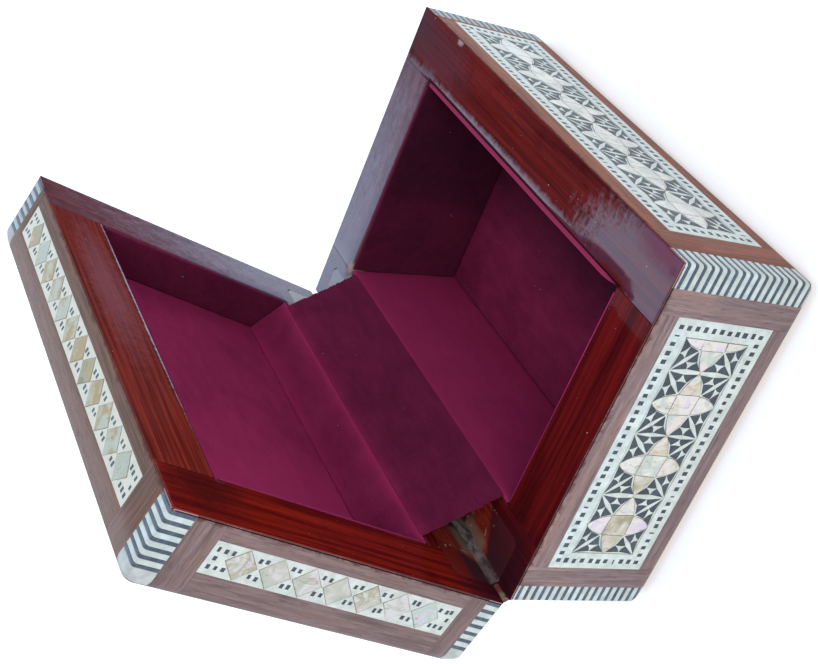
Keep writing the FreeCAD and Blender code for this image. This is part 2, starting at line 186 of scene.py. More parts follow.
class Finish:
    """One material of the box, built from nodes in front of a Principled shader."""

    def __init__(self, name, constants):
        self.material = bpy.data.materials.new(name)
        self.material.use_nodes = True
        self.tree = self.material.node_tree
        self.shader = self.tree.nodes["Principled BSDF"]
        for socket, value in constants.items():
            self.shader.inputs[socket].default_value = value

    def node(self, kind, settings=None, values=None, output=0):
        """Adds a node. Its settings are set first, and then its sockets get values or links."""
        made = self.tree.nodes.new("ShaderNode" + kind)
        for key, value in (settings or {}).items():
            if key == "stops":
                for _ in value[2:]:
                    made.color_ramp.elements.new(0.5)
                for element, (place, colour) in zip(made.color_ramp.elements, value):
                    element.position = place
                    element.color = colour
            else:
                setattr(made, key, value)
        for key, value in (values or {}).items():
            self.feed(made.inputs[key], value)
        return Value(self, made.outputs[output])

    def feed(self, socket, value):
        """Gives a socket a link or a plain value."""
        if isinstance(value, Value):
            self.tree.links.new(value.socket, socket)
        else:
            socket.default_value = value

    def surface(self, **values):
        """Feeds the shader's own sockets, with _ for the spaces in their names."""
        for name, value in values.items():
            self.feed(self.shader.inputs[name.replace("_", " ")], value)
        return self

    def spot(self, size, turn=0.0, source="Object", middle=(0, 0, 0)):
        """Coordinates from the middle, turned back about X and counted in steps of the given size."""
        where = self.node("TexCoord", output=source)
        values = {"Vector": where, "Location": middle, "Rotation": (turn, 0, 0), "Scale": size}
        return self.node("Mapping", {"vector_type": "TEXTURE"}, values)

    def noise(self, size, detail=3.0, roughness=0.55, distortion=0.0, **place):
        """Soft noise from 0 to 1. Its lumps have one size, or a size along each axis, in millimetres."""
        where = self.spot(np.broadcast_to(size, 3) * mm, **place)
        values = {"Vector": where, "Scale": 1.0, "Detail": detail, "Roughness": roughness}
        return self.node("TexNoise", None, {**values, "Distortion": distortion})

    def along(self, axis, turn=0.0, middle=(0, 0, 0)):
        """Millimetres from the middle along an axis, from 0 for X to 2 for Z, turned back about X."""
        where = self.spot((mm,) * 3, turn, middle=tuple(middle))
        return self.node("SeparateXYZ", None, {0: where}, axis)

    def tone(self):
        """The mesh's own tone."""
        return self.node("Attribute", {"attribute_name": "tone"}, output=2)

    def mixed(self, low, high, share):
        """One colour going over into another."""
        return self.node("Mix", {"data_type": "RGBA"}, {0: share, 6: low, 7: high}, output=2)

    def bump(self, height, distance, strength=1.0):
        """A bump whose full height stands for the given distance."""
        values = {"Height": height, "Distance": distance, "Strength": strength}
        return self.node("Bump", None, values)


def tint(red, green, blue):
    """A linear colour from display values of 0 to 255."""
    shares = np.array([red, green, blue]) / 255
    linear = np.where(shares <= 0.04045, shares / 12.92, ((shares + 0.055) / 1.055) ** 2.4)
    return (*linear.tolist(), 1.0)


def stained(name, grain_axis, turn, colours, gloss, patches=()):
    """Red stain under varnish: streaks and pores along the grain, darker clouds, lint, and patches. Some
    patches are painted reflections, painted highlights and painted shade.

    A patch is (middle, radii, colour, share, gleam, full). It is whole out to the share called full of its
    radii, fades to a scratchy edge at the radii, and mixes in its colour and its gloss.
    """
    streak_size = [0.8] * 3
    streak_size[grain_axis] = 30
    pore_size = [0.16] * 3
    pore_size[grain_axis] = 2.6
    settings = {"Coat Roughness": 0.10, "Coat IOR": 1.5, "IOR": 1.4, "Specular IOR Level": 0.0}
    finish = Finish(name, settings)
    streak = finish.noise(streak_size, 5.0, 0.62, 0.3, turn=turn)
    pore = finish.noise(pore_size, 2.0, turn=turn).rise(0.60, 0.72)
    cloud = finish.noise(6, 3.0, turn=turn)
    speck = finish.noise(0.5, 4.0, 0.7, turn=turn)
    scratch = finish.noise((1.1, 2.2, 1), 4.0, 0.65, 0.8, turn=turn)
    lint = finish.noise(0.45, 1.0, 0.5, 0.5, turn=turn).rise(0.80, 0.83)
    red = finish.mixed(colours[0], colours[1], streak.rise(0.32, 0.68))
    red = finish.mixed(red, tint(44, 5, 5), pore * 0.45)
    red = finish.mixed(red, tint(52, 8, 10), cloud.rise(0.54, 0.76) * 0.4)
    shine = gloss * (1.0 - 0.2 * cloud.rise(0.5, 0.75))
    rough = 0.34 + 0.16 * speck
    relief = streak * 0.6 + cloud * 0.4 - pore * 0.5
    for middle, radii, colour, share, gleam, full in patches:
        where = finish.spot(np.array(radii) * mm, turn, middle=middle)
        away = finish.node("VectorMath", {"operation": "LENGTH"}, {0: where}, output=1)
        # Each patch's mask; the patches hold stain, worn varnish, painted reflections, painted highlights
        # and painted shade.
        worn = (away + (speck - 0.5) * 0.4 + (scratch - 0.5) * 0.9).rise(1.05, full)
        worn = worn * (1.0 - 0.5 * speck.rise(0.60, 0.70))
        red = finish.mixed(red, colour, worn * share)
        shine = shine + worn * (gleam - shine)
        relief = relief + worn * speck * gleam * 0.6
    red = finish.mixed(red, tint(206, 198, 204), lint * 0.75)
    normal = finish.bump(relief, 0.03 * mm, 0.5)
    return finish.surface(Base_Color=red, Roughness=rough, Coat_Weight=shine, Normal=normal)


sides_of_box = ("front", "back", "left", "right")
base_high = shut_box(*["base_" + name + "_veneer" for name in sides_of_box])[1]
lid_low, lid_high = shut_box(*["lid_" + name + "_veneer" for name in sides_of_box])
half_length, half_depth, base_rim = base_high
lid_rim = lid_low[2]
base_wall_foot = shut_box("base_front_wall")[0][2]
lid_wall_head = shut_box("lid_front_wall")[1][2]
core_x = shut_box("base_right_wall")[1][0]
core_y = shut_box("base_back_wall")[1][1]
inner_x = shut_box("base_right_wall")[0][0]
inner_front = shut_box("base_front_wall")[1][1]
inner_back = shut_box("base_back_wall")[0][1]
leaf_low, leaf_high = shut_box("hinge_base_leaf")
rim_lip = 0.16 * mm
lip_cover = 0.06 * mm
outer_ease = 0.22 * mm
inner_ease = 0.30 * mm
front_ease = {"base": 0.95 * mm, "lid": 0.45 * mm}
joint_ease = 0.07 * mm
corner_round = 0.45 * mm
leaf_seat = 0.55 * mm
leaf_room = 0.02 * mm
leaf_corner = 1.2 * mm
barrel_room = 1.09 * mm
step_gap = 0.02 * mm
rim_step = 3 * mm
mortise_x = leaf_high[0] + leaf_room
mortise_y = leaf_low[1] - leaf_room


def ease(distance, radius):
    """How far a rounded edge drops at a distance from the edge: a quarter circle of the radius."""
    share = 1 - np.clip(distance / radius, 0, 1)
    return radius * (1 - np.sqrt(1 - share**2))


def lines(low, high, marks, step):
    """Grid lines from low to high: even steps of about the given size, and the marks that lie between."""
    even = np.linspace(low, high, max(2, math.ceil((high - low) / step) + 1))
    marks = np.ravel(marks)
    kept = marks[(marks > low) & (marks < high)]
    return np.unique(np.round(np.concatenate([even, kept]), 8))


def rounded_plan(x, y, inset, radius):
    """Points of the plan drawn in to rounded corners of the box's outline, taken in by the inset."""
    flat_x = half_length - inset - radius
    flat_y = half_depth - inset - radius
    away_x = np.abs(x) - flat_x
    away_y = np.abs(y) - flat_y
    reach = np.hypot(away_x, away_y)
    cut = (away_x > 0) & (away_y > 0) & (reach > radius)
    share = np.where(cut, radius / np.maximum(reach, mm * mm), 1.0)
    new_x = np.where(cut, np.sign(x) * (flat_x + away_x * share), x)
    new_y = np.where(cut, np.sign(y) * (flat_y + away_y * share), y)
    return new_x, new_y


def rim_drop(x, y, body):
    """How far the rim lies below its plane: eased at the outside and round the hollow, cut for the hinge."""
    outside = np.minimum(half_length - np.abs(x), half_depth - np.abs(y))
    hollow = np.maximum(np.maximum(np.abs(x) - inner_x, inner_front - y), y - inner_back)
    drop = ease(outside, outer_ease)
    drop += np.where(y <= inner_front, ease(hollow, front_ease[body]), ease(hollow, inner_ease))
    past_x = np.clip(np.abs(x) - mortise_x + leaf_corner, 0, None)
    past_y = np.clip(mortise_y + leaf_corner - y, 0, None)
    seat = (np.abs(x) < mortise_x) & (y > mortise_y) & (np.hypot(past_x, past_y) < leaf_corner)
    barrel = np.clip(barrel_room**2 - (y - pin_line[1])**2, 0, None)
    depth = np.maximum(leaf_seat, np.sqrt(barrel) - (pin_line[2] - base_rim))
    return np.where(seat, depth, drop)


def rim_board(body, x0, x1, y0, y1):
    """A wall board: the eased rim on top, a thin lip out over the veneer, and the plain board below."""
    ease_steps = np.array([0.1, 0.3, 0.6, 1.0])
    corner_steps = leaf_corner * np.array([0.25, 0.5, 0.75, 1.0])
    wall_steps = step_gap * np.array([-1, 0, 1, 0])
    marks_x = [half_length - outer_ease * ease_steps, half_length - corner_round * ease_steps,
               inner_x + inner_ease * ease_steps, mortise_x - corner_steps, mortise_x + wall_steps]
    marks_y = [half_depth - outer_ease * ease_steps, half_depth - corner_round * ease_steps,
               -inner_front + front_ease[body] * ease_steps]
    marks_back = [inner_back + inner_ease * ease_steps, mortise_y + wall_steps, mortise_y + corner_steps]
    ends = [joint_ease, joint_ease / 2]
    marks = [*marks_x, *np.negative(marks_x), np.add(x0, ends), np.subtract(x1, ends)]
    x = lines(x0, x1, np.concatenate(marks), rim_step)
    marks = [*marks_y, *np.negative(marks_y), *marks_back, np.add(y0, ends), np.subtract(y1, ends)]
    y = lines(y0, y1, np.concatenate(marks), rim_step)
    x, y = np.meshgrid(x, y)
    drop = rim_drop(x, y, body)
    for low, high, spot, outer in ((x0, x1, x, half_length), (y0, y1, y, half_depth)):
        for end in (low, high):
            if abs(abs(end) - outer) > mm:
                drop = np.maximum(drop, ease(np.abs(spot - end), joint_ease) * (drop < leaf_seat))
    x, y = rounded_plan(x, y, 0.0, corner_round)
    way = 1 if body == "base" else -1
    rim = base_rim if body == "base" else lid_rim
    foot = base_wall_foot if body == "base" else lid_wall_head
    face = np.stack([x, y, rim - way * drop], axis=-1)
    inside_x = np.clip(x, -core_x, core_x)
    inside_y = np.clip(y, -core_y, core_y)
    lip = face - np.array([0, 0, way * rim_lip])
    neck = np.stack([inside_x, inside_y, lip[..., 2]], axis=-1)
    back = np.stack([inside_x, inside_y, np.full_like(x, foot)], axis=-1)
    grids = [grid[None, ::way] for grid in (face, back, lip, neck)]
    return slabs(grids[0], grids[1], grids[2:])


board_spans = {
    "base_front": (-half_length, half_length, -half_depth, inner_front),
    "base_back": (-half_length, half_length, inner_back, half_depth),
    "base_left": (-half_length, -inner_x, inner_front, inner_back),
    "base_right": (inner_x, half_length, inner_front, inner_back),
    "lid_front": (-inner_x, inner_x, -half_depth, inner_front),
    "lid_back": (-inner_x, inner_x, inner_back, half_depth),
    "lid_left": (-half_length, -inner_x, -half_depth, half_depth),
    "lid_right": (inner_x, half_length, -half_depth, half_depth),
}
deep_red = (tint(60, 9, 13), tint(102, 21, 21))
bright_red = (tint(84, 13, 12), tint(134, 31, 19))
front_red = (tint(68, 16, 19), tint(106, 30, 27))
brown_red = (tint(84, 22, 20), tint(130, 46, 36))
# The far rims' plum and mauve hold a painted reflection of the sky besides the red stain.
plum_red_and_reflection = (tint(76, 30, 40), tint(98, 38, 46))
lid_plum_and_reflection = (tint(84, 38, 48), tint(108, 52, 62))
# Lilac haze: hazy worn varnish with a painted reflection of the sky in it; along inner edges it is a painted
# highlight.
haze_and_sky_reflection = tint(80, 55, 80)
# Painted reflection of the blue sky.
sky_reflection_blue = tint(82, 84, 120)


def patch(body, x, y, radii, colour, share, gleam, full):
    """A patch on a rim, from its place in millimetres on the shut box."""
    middle = np.array([x * mm, y * mm, base_rim if body == "base" else lid_rim])
    if body == "lid":
        middle = turned(middle, -shut_turn)
    return tuple(middle), (*radii, 9), colour, share, gleam, full


edge_y = inner_front / mm
front_patches = [
    patch("base", 6, -22.3, (27, 1.9), tint(124, 40, 30), 0.15, 0.0, 0.1),
    patch("base", 30, -23, (14, 6), tint(84, 46, 58), 0.5, 0.04, 0.2),
    patch("base", 43, -24, (13, 10), tint(62, 28, 38), 0.7, 0.12, 0.2),
    # Near corner: scuffed hazy varnish with a painted sky reflection. Next two: painted highlights along the
    # eased inner edge and at its far corner.
    patch("base", -37, -21, (21, 8), haze_and_sky_reflection, 0.35, 0.85, 0.6),
    patch("base", -4, edge_y, (60, 1.7), haze_and_sky_reflection, 0.35, 0.85, 0.45),
    patch("base", 31.5, edge_y, (5, 2.2), haze_and_sky_reflection, 0.4, 0.35, 0.2),
    patch("base", -42, -28.6, (2.6, 2.6), tint(46, 30, 40), 0.85, 0.15, 0.5),
    patch("base", -39, -25.2, (0.9, 0.9), tint(64, 26, 44), 0.7, 0.2, 0.3),
    patch("base", -36, -26, (8, 3), tint(112, 52, 80), 0.5, 0.3, 0.2),
    patch("base", -29, edge_y, (6, 1.5), tint(86, 24, 18), 0.85, 0.05, 0.5),
    patch("base", 26.0, -27, (1.1, 0.9), tint(158, 134, 138), 0.85, 0.1, 0.4),
]
lid_front_patches = [
    # Greyer mauve over the worn varnish: a painted reflection of the sky.
    patch("lid", 10, -22.5, (24, 4.5), tint(134, 80, 90), 0.6, 0.03, 0.1),
    # Painted highlight along the eased inner edge.
    patch("lid", 8, edge_y, (36, 0.7), tint(186, 166, 190), 0.85, 0.3, 0.5),
]
# Painted shade on the rims round the hinge's end.
hinge_end_shade = (tint(50, 19, 29), 0.8, 0.1, 0.4)
# Painted reflections of the sky on the far rims and at the far ends of the back rims.
far_rim_sky_reflection = (sky_reflection_blue, 0.35, 0.95, 0.0)
lid_far_sky_reflection = (tint(92, 100, 146), 0.5, 0.8, 0.0)
pale_chip = (tint(176, 152, 138), 0.85, 0.2, 0.4)
chip_x = inner_x / mm
chip_y = inner_back / mm
near_patches = [patch("base", -36, 27, (20, 12), *hinge_end_shade)]
far_patches = [
    patch("base", 36, 17, (30, 48), *far_rim_sky_reflection),
    patch("base", chip_x, 14, (0.7, 7), tint(104, 78, 66), 0.7, 0.2, 0.2),
    patch("base", chip_x + 0.5, chip_y - 0.4, (1.3, 1.3), *pale_chip),
]
back_patches = [
    patch("base", -36, 25, (8, 9), *hinge_end_shade),
    patch("base", 38, 24, (12, 12), sky_reflection_blue, 0.3, 1.0, 0.5),
    patch("base", chip_x + 0.5, chip_y - 0.4, (1.3, 1.3), *pale_chip),
]
lid_near_patches = [
    patch("lid", -36, 28, (20, 10), *hinge_end_shade),
    patch("lid", -33, -21, (9, 8), tint(58, 15, 18), 0.7, 0.15, 0.2),
]
lid_far_patches = [patch("lid", 36, 26, (30, 50), *lid_far_sky_reflection)]
lid_back_patches = [patch("lid", 34, 24, (9, 9), *lid_far_sky_reflection)]
rim_finishes = {
    "base_front": stained("front_rim_stain", 0, 0.0, front_red, 0.02, front_patches),
    "base_back": stained("back_rim_stain", 0, 0.0, deep_red, 0.3, back_patches),
    "base_left": stained("near_rim_stain", 1, 0.0, deep_red, 0.12, near_patches),
    "base_right": stained("far_rim_stain", 1, 0.0, plum_red_and_reflection, 0.35, far_patches),
    "lid_front": stained("lid_front_stain", 0, -shut_turn, brown_red, 0.03, lid_front_patches),
    "lid_back": stained("lid_back_stain", 0, -shut_turn, deep_red, 0.3, lid_back_patches),
    "lid_left": stained("lid_near_stain", 1, -shut_turn, bright_red, 0.5, lid_near_patches),
    "lid_right": stained("lid_far_stain", 1, -shut_turn, lid_plum_and_reflection, 0.10, lid_far_patches),
}
for board, span in board_spans.items():
    body = board.split("_")[0]
    spots, faces = rim_board(body, *span)
    show(board + "_rim_board", body, spots, faces, [rim_finishes[board]], "stained_wood", [board + "_wall"])

# Bottom board: a thin plain board glued under the walls, with its edge rounded like the veneer's foot.
# A felt sheet is glued under it, a little smaller than the board, so that the box stands softly.

base_round = 2.2 * mm
board_step = 4 * mm
felt_step = 2 * mm
board_low, board_high = shut_box("base_bottom_board")
felt_low, felt_high = shut_box("base_bottom_felt")
base_foot = board_low[2]


def plain_board(name):
    """Bare board: faint straight grain along X and small dark pores."""
    finish = Finish(name, {"IOR": 1.45})
    streak = finish.noise((30, 1.1, 1.1), 5.0, 0.6, 0.3)
    pore = finish.noise((4, 0.2, 0.2), 2.0).rise(0.62, 0.74)
    wood = finish.mixed(tint(128, 92, 62), tint(168, 128, 90), streak)
    wood = finish.mixed(wood, tint(82, 54, 36), pore * 0.6)
    normal = finish.bump(streak - pore, 0.05 * mm, 0.4)
    return finish.surface(Base_Color=wood, Roughness=0.5 + 0.2 * streak, Normal=normal)


def underside(x, y):
    """Height of the board's underside: flat, a quarter circle up each edge, and a ball at each corner."""
    past_x = np.clip(np.abs(x) - (half_length - base_round), 0, base_round)
    past_y = np.clip(np.abs(y) - (half_depth - base_round), 0, base_round)
    past = np.minimum(np.hypot(past_x, past_y), base_round)
    return base_foot + base_round - np.sqrt(base_round**2 - past**2)


turns = np.sin(np.linspace(0, math.asin((core_x - half_length + base_round) / base_round), 7))
bends = base_round * (turns - 1)
x = lines(-core_x, core_x, np.concatenate([half_length + bends, -half_length - bends]), board_step)
y = lines(-core_y, core_y, np.concatenate([half_depth + bends, -half_depth - bends]), board_step)
x, y = np.meshgrid(x, y)
board_inset = half_length - core_x
x, y = rounded_plan(x, y, board_inset, base_round - board_inset)
face = np.stack([x, y, underside(x, y)], axis=-1)[None, ::-1]
back = np.stack([x, y, np.full_like(x, board_high[2])], axis=-1)[None, ::-1]
spots, faces = slabs(face, back)
show("bottom_board", "base", spots, faces, [plain_board("bare_board")], "plain_wood", ["base_bottom_board"])


def felted(name):
    """Pressed burgundy felt: matted fibres with no direction."""
    finish = Finish(name, {"Sheen Weight": 0.4, "Sheen Roughness": 0.5, "Sheen Tint": tint(190, 90, 120)})
    mat = finish.noise(0.5, 5.0, 0.75, 1.5)
    cloud = finish.noise(6, 2.0)
    wool = finish.mixed(tint(58, 10, 28), tint(104, 26, 56), mat * 0.7 + cloud * 0.3)
    normal = finish.bump(mat, 0.08 * mm, 0.8)
    return finish.surface(Base_Color=wool, Roughness=0.85 + 0.1 * mat, Normal=normal)


felt_ease = 0.15 * mm
ends = felt_ease * np.array([0.1, 0.4, 1.0])
x = lines(felt_low[0], felt_high[0], np.concatenate([felt_low[0] + ends, felt_high[0] - ends]), felt_step)
y = lines(felt_low[1], felt_high[1], np.concatenate([felt_low[1] + ends, felt_high[1] - ends]), felt_step)
x, y = np.meshgrid(x, y)
drop = np.maximum(ease(np.minimum(x - felt_low[0], felt_high[0] - x), felt_ease),
                  ease(np.minimum(y - felt_low[1], felt_high[1] - y), felt_ease))
face = np.stack([x, y, felt_low[2] + drop], axis=-1)[None, ::-1]
back = np.stack([x, y, np.full_like(x, felt_high[2])], axis=-1)[None, ::-1]
spots, faces = slabs(face, back)
felt = show("bottom_felt", "base", spots, faces, [felted("burgundy_felt")], "felt", ["base_bottom_felt"])

# Veneer: walnut, laid as four strips round the window for each inlay panel, satin varnished.
# The upright strips run the whole height and the others fit between them. Outer edges are rounded over.

lid_round = 2.2 * mm
lid_head = shut_box("lid_top_veneer")[1][2]
lid_skin_head = lid_high[2]
veneer_depth = half_length - core_x
seam_ease = 0.06 * mm
veneer_step = 2.5 * mm
Side = namedtuple("Side", "name along up out reach")
x_axis, y_axis, z_axis = np.eye(3)
front_side = Side("front", x_axis, z_axis, -y_axis, half_depth)
back_side = Side("back", -x_axis, z_axis, y_axis, half_depth)
left_side = Side("left", -y_axis, z_axis, -x_axis, half_length)
right_side = Side("right", y_axis, z_axis, x_axis, half_length)
upright_sides = (front_side, back_side, left_side, right_side)
chance = np.random.default_rng(11)


def laid(flat, side):
    """Flat points carried to a side of the box: u along it, v up it and w out of it."""
    return flat[..., :1] * side.along + flat[..., 1:2] * side.up + (flat[..., 2:] + side.reach) * side.out


def across(node, side):
    """The box of a node, seen flat on a side: its low and high u, then its low and high v."""
    low, high = shut_box(node)
    u = sorted((low @ side.along, high @ side.along))
    v = sorted((low @ side.up, high @ side.up))
    return np.array([*u, *v])


def walnut(name, colours, rim, turn, far_shade_and_sheen, shade_and_sheen_share):
    """Walnut veneer on the grain UV: brown with dark streaks, broad figure, fine pores and a satin varnish.

    Red stain has run over its edge from the rim, by about half a millimetre and in blots. From 6 mm off the
    rim the wood goes over by the given share to the far colour, which is painted shade on most sides and a
    painted sheen at the head of the lid's front.
    """
    finish = Finish(name, {"Coat Roughness": 0.25, "IOR": 1.4, "Specular IOR Level": 0.1})
    streak = finish.noise((11, 0.55, 1), 5.0, 0.66, 0.5, source="UV")
    figure = finish.noise((24, 3.2, 1), 3.0, 0.5, 0.8, source="UV")
    fleck = finish.noise((3.2, 0.35, 1), 3.0, 0.6, 0.3, source="UV")
    pore = finish.noise((1.9, 0.11, 1), 2.0, source="UV").rise(0.58, 0.70)
    blot = finish.noise(1.7, 4.0, 0.65, 0.5)
    below = finish.along(2, turn, rim)
    run = (below.math("ABSOLUTE") + (blot - 0.5) * 3.2).rise(0.75, 0.15)
    wood = finish.mixed(colours[0], colours[1], streak.rise(0.30, 0.70))
    wood = finish.mixed(wood, colours[2], figure.rise(0.50, 0.68) * 0.6)
    wood = finish.mixed(wood, colours[0], figure.rise(0.46, 0.34) * 0.45)
    # Painted shade away from the rim; on the lid's front, a painted sheen at its head.
    wood = finish.mixed(wood, far_shade_and_sheen, below.math("ABSOLUTE").rise(6.0, 9.5) * shade_and_sheen_share)
    wood = finish.mixed(wood, tint(84, 64, 64), fleck.rise(0.56, 0.70) * 0.5)
    wood = finish.mixed(wood, tint(74, 54, 54), pore * 0.55)
    wood = finish.mixed(wood, tint(78, 34, 28), run * 0.7)
    normal = finish.bump(streak * 0.5 - pore, 0.02 * mm, 0.5)
    rough = 0.42 + 0.2 * streak
    return finish.surface(Base_Color=wood, Roughness=rough, Coat_Weight=0.06 - 0.05 * pore, Normal=normal)


base_edge = np.array([0, 0, base_rim])
lid_edge = turned(np.array([0, 0, lid_rim]), -shut_turn)
mauve = (tint(108, 87, 86), tint(154, 129, 126), tint(146, 115, 106))
lid_mauve = (tint(100, 80, 78), tint(140, 116, 113), tint(132, 104, 96))
copper = (tint(106, 60, 46), tint(156, 92, 69), tint(156, 88, 60))
golden = (tint(86, 59, 46), tint(124, 91, 75), tint(126, 84, 56))
# Painted sheen at the head of the lid's front, and painted shade far from the rim on the other sides.
painted_head_sheen = tint(150, 128, 122)
painted_far_shade = tint(110, 96, 100)
end_walnut = walnut("end_walnut", mauve, base_edge, 0.0, painted_far_shade, 0.35)
front_walnut = walnut("front_walnut", copper, base_edge, 0.0, painted_far_shade, 0.1)
lid_end_walnut = walnut("lid_end_walnut", lid_mauve, lid_edge, -shut_turn, painted_far_shade, 0.15)
lid_front_walnut = walnut("lid_front_walnut", golden, lid_edge, -shut_turn, painted_head_sheen, 0.45)
walnut_finishes = {
    "base": {**dict.fromkeys(sides_of_box, end_walnut), "front": front_walnut},
    "lid": {**dict.fromkeys(sides_of_box, lid_end_walnut), "front": lid_front_walnut},
}


def round_over(v, edge, radius):
    """How far the outside draws in near a rounded edge: a quarter circle of the radius."""
    depth = np.clip(radius - np.abs(v - edge), 0, radius)
    return radius - np.sqrt(radius**2 - depth**2)


def veneer_strip(u0, u1, v0, v1, upright, drawn_in, marks):
    """One strip with eased seams. drawn_in(u, v) gives how far the outside is rounded over there."""
    steps = seam_ease * np.array([0.2, 0.6, 1.0])
    u = lines(u0, u1, np.concatenate([u0 + steps, u1 - steps, marks]), veneer_step)
    v = lines(v0, v1, np.concatenate([v0 + steps, v1 - steps, marks]), veneer_step)
    u, v = np.meshgrid(u, v)
    seam = np.minimum(np.minimum(u - u0, u1 - u), np.minimum(v - v0, v1 - v))
    face = np.stack([u, v, -drawn_in(u, v) - ease(seam, seam_ease)], axis=-1)
    back = np.stack([u, v, np.full_like(u, -veneer_depth)], axis=-1)
    spots, faces = slabs(face[None], np.minimum(back, face)[None])
    grain = spots[:, [1, 0]] if upright else spots[:, :2]
    return spots, faces, grain + chance.uniform(-0.5, 0.5, 2)


def joined(parts):
    """Several meshes as one: points, faces and any other values for each point."""
    counts = np.cumsum([0] + [len(part[0]) for part in parts])
    faces = [part[1] + start for part, start in zip(parts, counts)]
    rest = [np.concatenate(values) for values in list(zip(*parts))[2:]]
    return [np.concatenate([part[0] for part in parts]), np.concatenate(faces), *rest]


def framed(face, window, drawn_in, marks):
    """Four strips round a window."""
    u0, u1, v0, v1 = face
    a0, a1, b0, b1 = window
    uprights = [(u0, a0, v0, v1, True), (a1, u1, v0, v1, True)]
    between = [(a0, a1, v0, b0, False), (a0, a1, b1, v1, False)]
    return joined([veneer_strip(*span, drawn_in, marks) for span in uprights + between])


stripe_leg = half_length - shut_box("base_front_veneer")[1][0]
stripe_leg_back = 2.8 * mm
border_width = shut_box("lid_top_panel")[0][0] - shut_box("lid_top_border")[0][0]
hinge_cut = 1.3 * mm
foot_reach = base_foot + base_round * (1 - math.sin(math.acos(1 - veneer_depth / base_round)))
head_inset = lid_round - math.sqrt(lid_round**2 - (lid_round - veneer_depth) ** 2)
foot_turn = math.acos(1 - veneer_depth / base_round)
head_turn = math.asin(1 - veneer_depth / lid_round)
foot_marks = base_foot + base_round * (1 - np.sin(np.linspace(0, foot_turn, 8)))
head_marks = lid_head - lid_round * (1 - np.sin(np.linspace(0, head_turn, 7)))


def side_span(side):
    """Where the veneer runs between the corner strips of a side, as low and high u."""
    if side.along[0]:
        return np.array([stripe_leg - half_length, half_length - stripe_leg])
    front_end = side.along[1] * (stripe_leg - half_depth)
    back_end = side.along[1] * (half_depth - stripe_leg_back)
    return np.sort([front_end, back_end])


def base_drawn_in(u, v):
    """The foot of the base is rounded over."""
    return round_over(v, base_foot, base_round)


def lid_drawn_in(u, v):
    """The head of the lid is rounded over."""
    return round_over(v, lid_head, lid_round)


windows = {"base": {}, "lid": {}}
window_grow = border_width * np.array([-1, 1, -1, 1])
for side in upright_sides:
    cut = hinge_cut if side is back_side else rim_lip - lip_cover
    edges = {
        "base": (foot_reach, base_rim - cut, window_grow, base_drawn_in, foot_marks),
        "lid": (lid_rim + cut, lid_skin_head, 0 * window_grow, lid_drawn_in, head_marks),
    }
    for body, (low, high, grow, drawn_in, marks) in edges.items():
        name = body + "_" + side.name
        window = across(name + "_panel", side) + grow
        windows[body][side.name] = window
        spots, faces, grain = framed((*side_span(side), low, high), window, drawn_in, marks)
        show(name + "_walnut", body, laid(spots, side), faces, [walnut_finishes[body][side.name]],
             "walnut_veneer", [name + "_veneer"], grain)

top_side = Side("top", x_axis, y_axis, z_axis, lid_head)
top_window = across("lid_top_panel", top_side) + window_grow
top_face = across("lid_top_veneer", top_side)
edge_turns = np.sin(np.linspace(0, math.acos(1 - veneer_depth / lid_round), 8)) * lid_round


def top_drawn_in(u, v):
    """The top is rounded over at all four edges, with a ball at each corner."""
    past_u = np.clip(np.abs(u) - (half_length - lid_round), 0, lid_round)
    past_v = np.clip(np.abs(v) - (half_depth - lid_round), 0, lid_round)
    past = np.minimum(np.hypot(past_u, past_v), lid_round - head_inset)
    return lid_round - np.sqrt(lid_round**2 - past**2)


marks = np.concatenate([half_length - lid_round + edge_turns, half_depth - lid_round + edge_turns])
spots, faces, grain = framed(top_face, top_window, top_drawn_in, np.concatenate([marks, -marks]))
spots[:, 0], spots[:, 1] = rounded_plan(spots[:, 0], spots[:, 1], head_inset, lid_round - head_inset)
show("lid_top_walnut", "lid", laid(spots, top_side), faces, [lid_end_walnut], "walnut_veneer",
     ["lid_top_veneer"], grain)

# Corner strips: thin strips of bone and of dark wood in turn, each bent round an upright corner.
# They are stacked from the rim, glued to the walls and scraped flush with the veneer.

base_stripes = 17
lid_stripes = 7
bone_share = 0.58
base_first_bone = 1.0
lid_first_bone = 0.52
base_stripe_foot = 1.5 * mm
lid_stripe_head = 3.2 * mm
strip_ease = 0.07 * mm
strip_row = 0.3 * mm
strip_depth = 0.95 * veneer_depth
arc_steps = 9
most_warmth = 0.3
dark_dip = 0.02 * mm
greyer_end = (31.0, 36.0)
strip_greying = 0.5
cap_tone = 0.2


def bone(name, colours, rim, turn, greying=0.0):
    """Polished bone: pale with grey clouds and short hair lines, warmer by its tone, pink next to the rim.

    Towards the right-hand end of the box it goes greyer by the given share.
    """
    finish = Finish(name, {"Coat Roughness": 0.15, "IOR": 1.5})
    blot = finish.noise(1.1, 4.0, 0.65, 0.5)
    below = finish.along(2, turn, rim)
    run = (below.math("ABSOLUTE") + (blot - 0.5) * 0.9).rise(0.62, 0.30)
    cloud = finish.noise(1.8, 4.0, 0.6)
    hair = finish.noise((0.10, 0.9, 0.25), 2.0).rise(0.60, 0.75)
    tone = finish.tone()
    white = finish.mixed(colours[0], colours[1], cloud.rise(0.3, 0.7))
    white = finish.mixed(white, tint(198, 184, 154), tone * 0.8)
    white = finish.mixed(white, tint(146, 146, 138), hair * 0.35)
    white = finish.mixed(white, tint(150, 96, 84), run * 0.75)
    if greying:
        # Greyer towards the right-hand end of the box.
        dirty = (finish.along(0) + (cloud - 0.5) * 6.0).rise(*greyer_end)
        white = finish.mixed(white, tint(96, 92, 90), dirty * greying)
    rough = 0.30 + 0.2 * cloud
    normal = finish.bump(cloud - hair * 0.4, 0.012 * mm, 0.5)
    return finish.surface(Base_Color=white, Roughness=rough, Coat_Weight=0.3 * cloud, Normal=normal)


